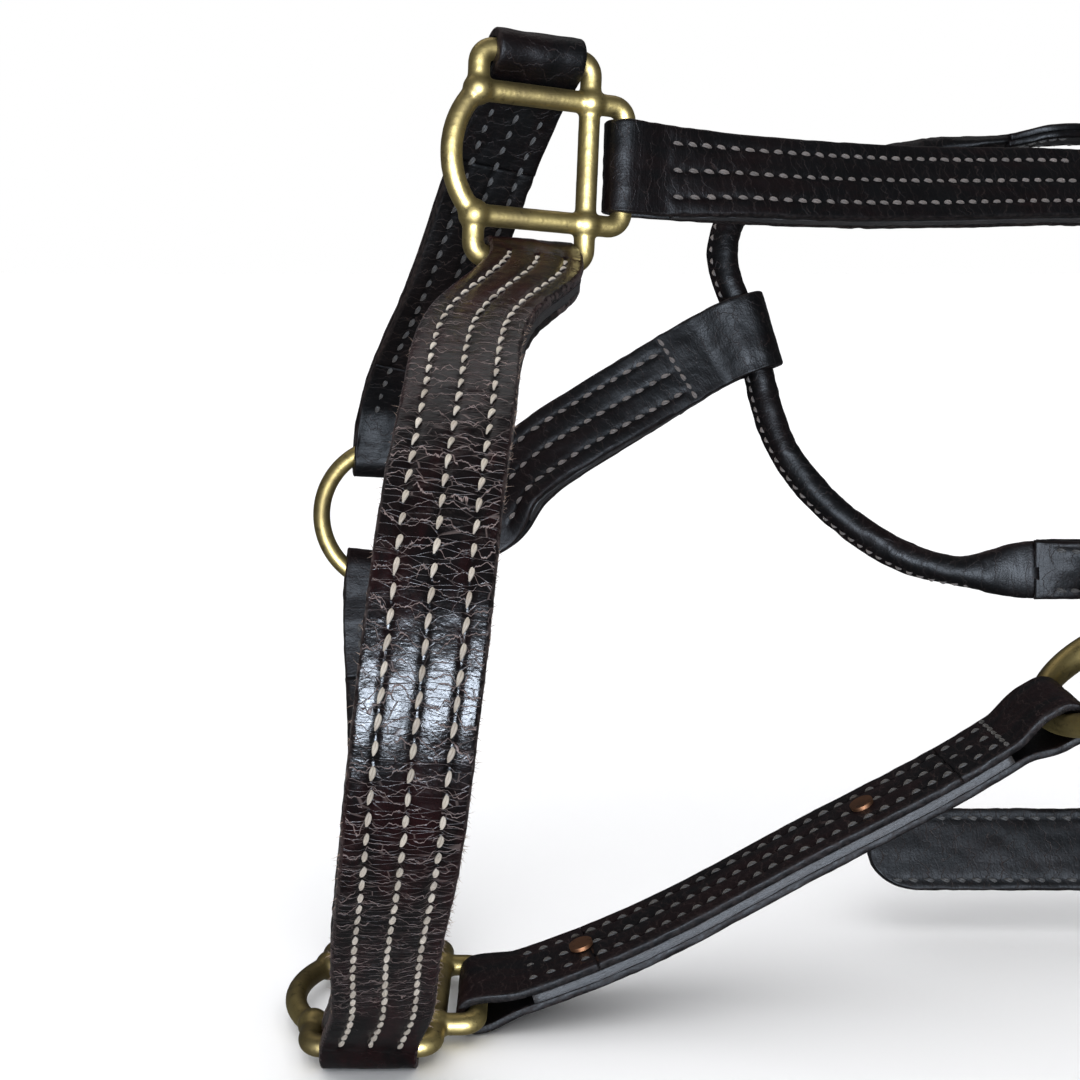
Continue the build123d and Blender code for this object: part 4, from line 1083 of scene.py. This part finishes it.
# Hardware
def cast_copy(node, name, voxel, smooth):
    """A cast-looking copy of a metal node: its joins run into one another."""
    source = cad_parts[node]
    obj = bpy.data.objects.new(name, source.data.copy())
    bpy.context.scene.collection.objects.link(obj)
    remesh = obj.modifiers.new("remesh", "REMESH")
    remesh.mode = "VOXEL"
    remesh.voxel_size = voxel
    soften = obj.modifiers.new("soften", "SMOOTH")
    soften.factor = 0.5
    soften.iterations = smooth
    apply_modifiers(obj)
    return obj


for square in ("off_side_square", "near_side_square"):
    finish_piece(cast_copy(square, square + "_cast", 0.00055, 6), BRASS, "halter", [square])
BRASS_NODES = ("off_cheek_ring", "near_cheek_ring", "chin_ring", "buckle_frame", "buckle_tongue", "snap_body",
               "snap_bolt", "snap_eye")
for nodes, metal in ((BRASS_NODES, BRASS), (("off_cheek_rivets", "near_cheek_rivets"), COPPER)):
    for node in nodes:
        dress(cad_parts[node], metal)


# Floor, light and camera
def floor_material():
    m = Nodes("pale_floor")
    m.put(m.shader, "Base Color", (0.86, 0.86, 0.87, 1))
    m.put(m.shader, "Roughness", 0.9)
    m.put(m.shader, "Specular IOR Level", 0.1)
    return m.mat


bpy.ops.mesh.primitive_plane_add(size=12.0, location=(0, 0, -0.0002))
floor = bpy.context.object
floor.name = "floor"
floor.data.materials.append(floor_material())
floor.visible_glossy = False


def lamp(name, kind, at, look, energy, colour=(1, 1, 1)):
    light = bpy.data.lights.new(name, kind)
    light.energy = energy
    light.color = colour
    obj = bpy.data.objects.new(name, light)
    obj.location = at
    obj.rotation_euler = (Vector(look) - Vector(at)).to_track_quat("-Z", "Y").to_euler()
    obj.visible_camera = False
    bpy.context.scene.collection.objects.link(obj)
    return obj


def softbox(name, at, look, size, power, colour=(1, 1, 1)):
    obj = lamp(name, "AREA", at, look, power, colour)
    obj.data.shape = "RECTANGLE"
    obj.data.size, obj.data.size_y = size
    obj.visible_diffuse = False


def broad_sun(name, at, strength, angle):
    """Even, nearly shadowless light on the floor that makes no highlight of its own."""
    obj = lamp(name, "SUN", at, (0, 0, 0), strength)
    obj.data.angle = math.radians(angle)
    obj.visible_glossy = False


broad_sun("overall", (-0.5, -0.1, 1.0), 3.2, 125.0)
broad_sun("fill", (0.6, 0.3, 0.7), 1.3, 150.0)
softbox("front", (-0.08, -1.55, 0.15), (-0.2, -0.13, 0.13), (0.8, 0.34), 110.0, (0.76, 0.86, 1.0))
softbox("above", (-0.3, 0.5, 1.3), (-0.1, 0.0, 0.1), (1.4, 0.4), 3.0)
world = bpy.data.worlds.new("studio")
world.use_nodes = True
tree = world.node_tree
surround = tree.nodes["Background"]
surround.inputs[0].default_value = (0.92, 0.96, 1.0, 1)
surround.inputs[1].default_value = 0.12
backdrop = tree.nodes.new("ShaderNodeBackground")
backdrop.inputs[0].default_value = (1, 1, 1, 1)
seen = tree.nodes.new("ShaderNodeLightPath")
choose = tree.nodes.new("ShaderNodeMixShader")
tree.links.new(seen.outputs["Is Camera Ray"], choose.inputs[0])
tree.links.new(surround.outputs[0], choose.inputs[1])
tree.links.new(backdrop.outputs[0], choose.inputs[2])
tree.links.new(choose.outputs[0], tree.nodes["World Output"].inputs[0])
bpy.context.scene.world = world

camera_data = bpy.data.cameras.new("camera")
camera_data.lens = 50.0
camera_data.sensor_width = 36.0
camera_data.clip_start = 0.01
camera = bpy.data.objects.new("camera", camera_data)
camera.location = metres((0, 0, 219.0))
camera.rotation_euler = (math.radians(90 - 12), 0, 0)
bpy.context.scene.collection.objects.link(camera)
bpy.context.scene.camera = camera
bpy.context.scene.view_settings.view_transform = "Standard"
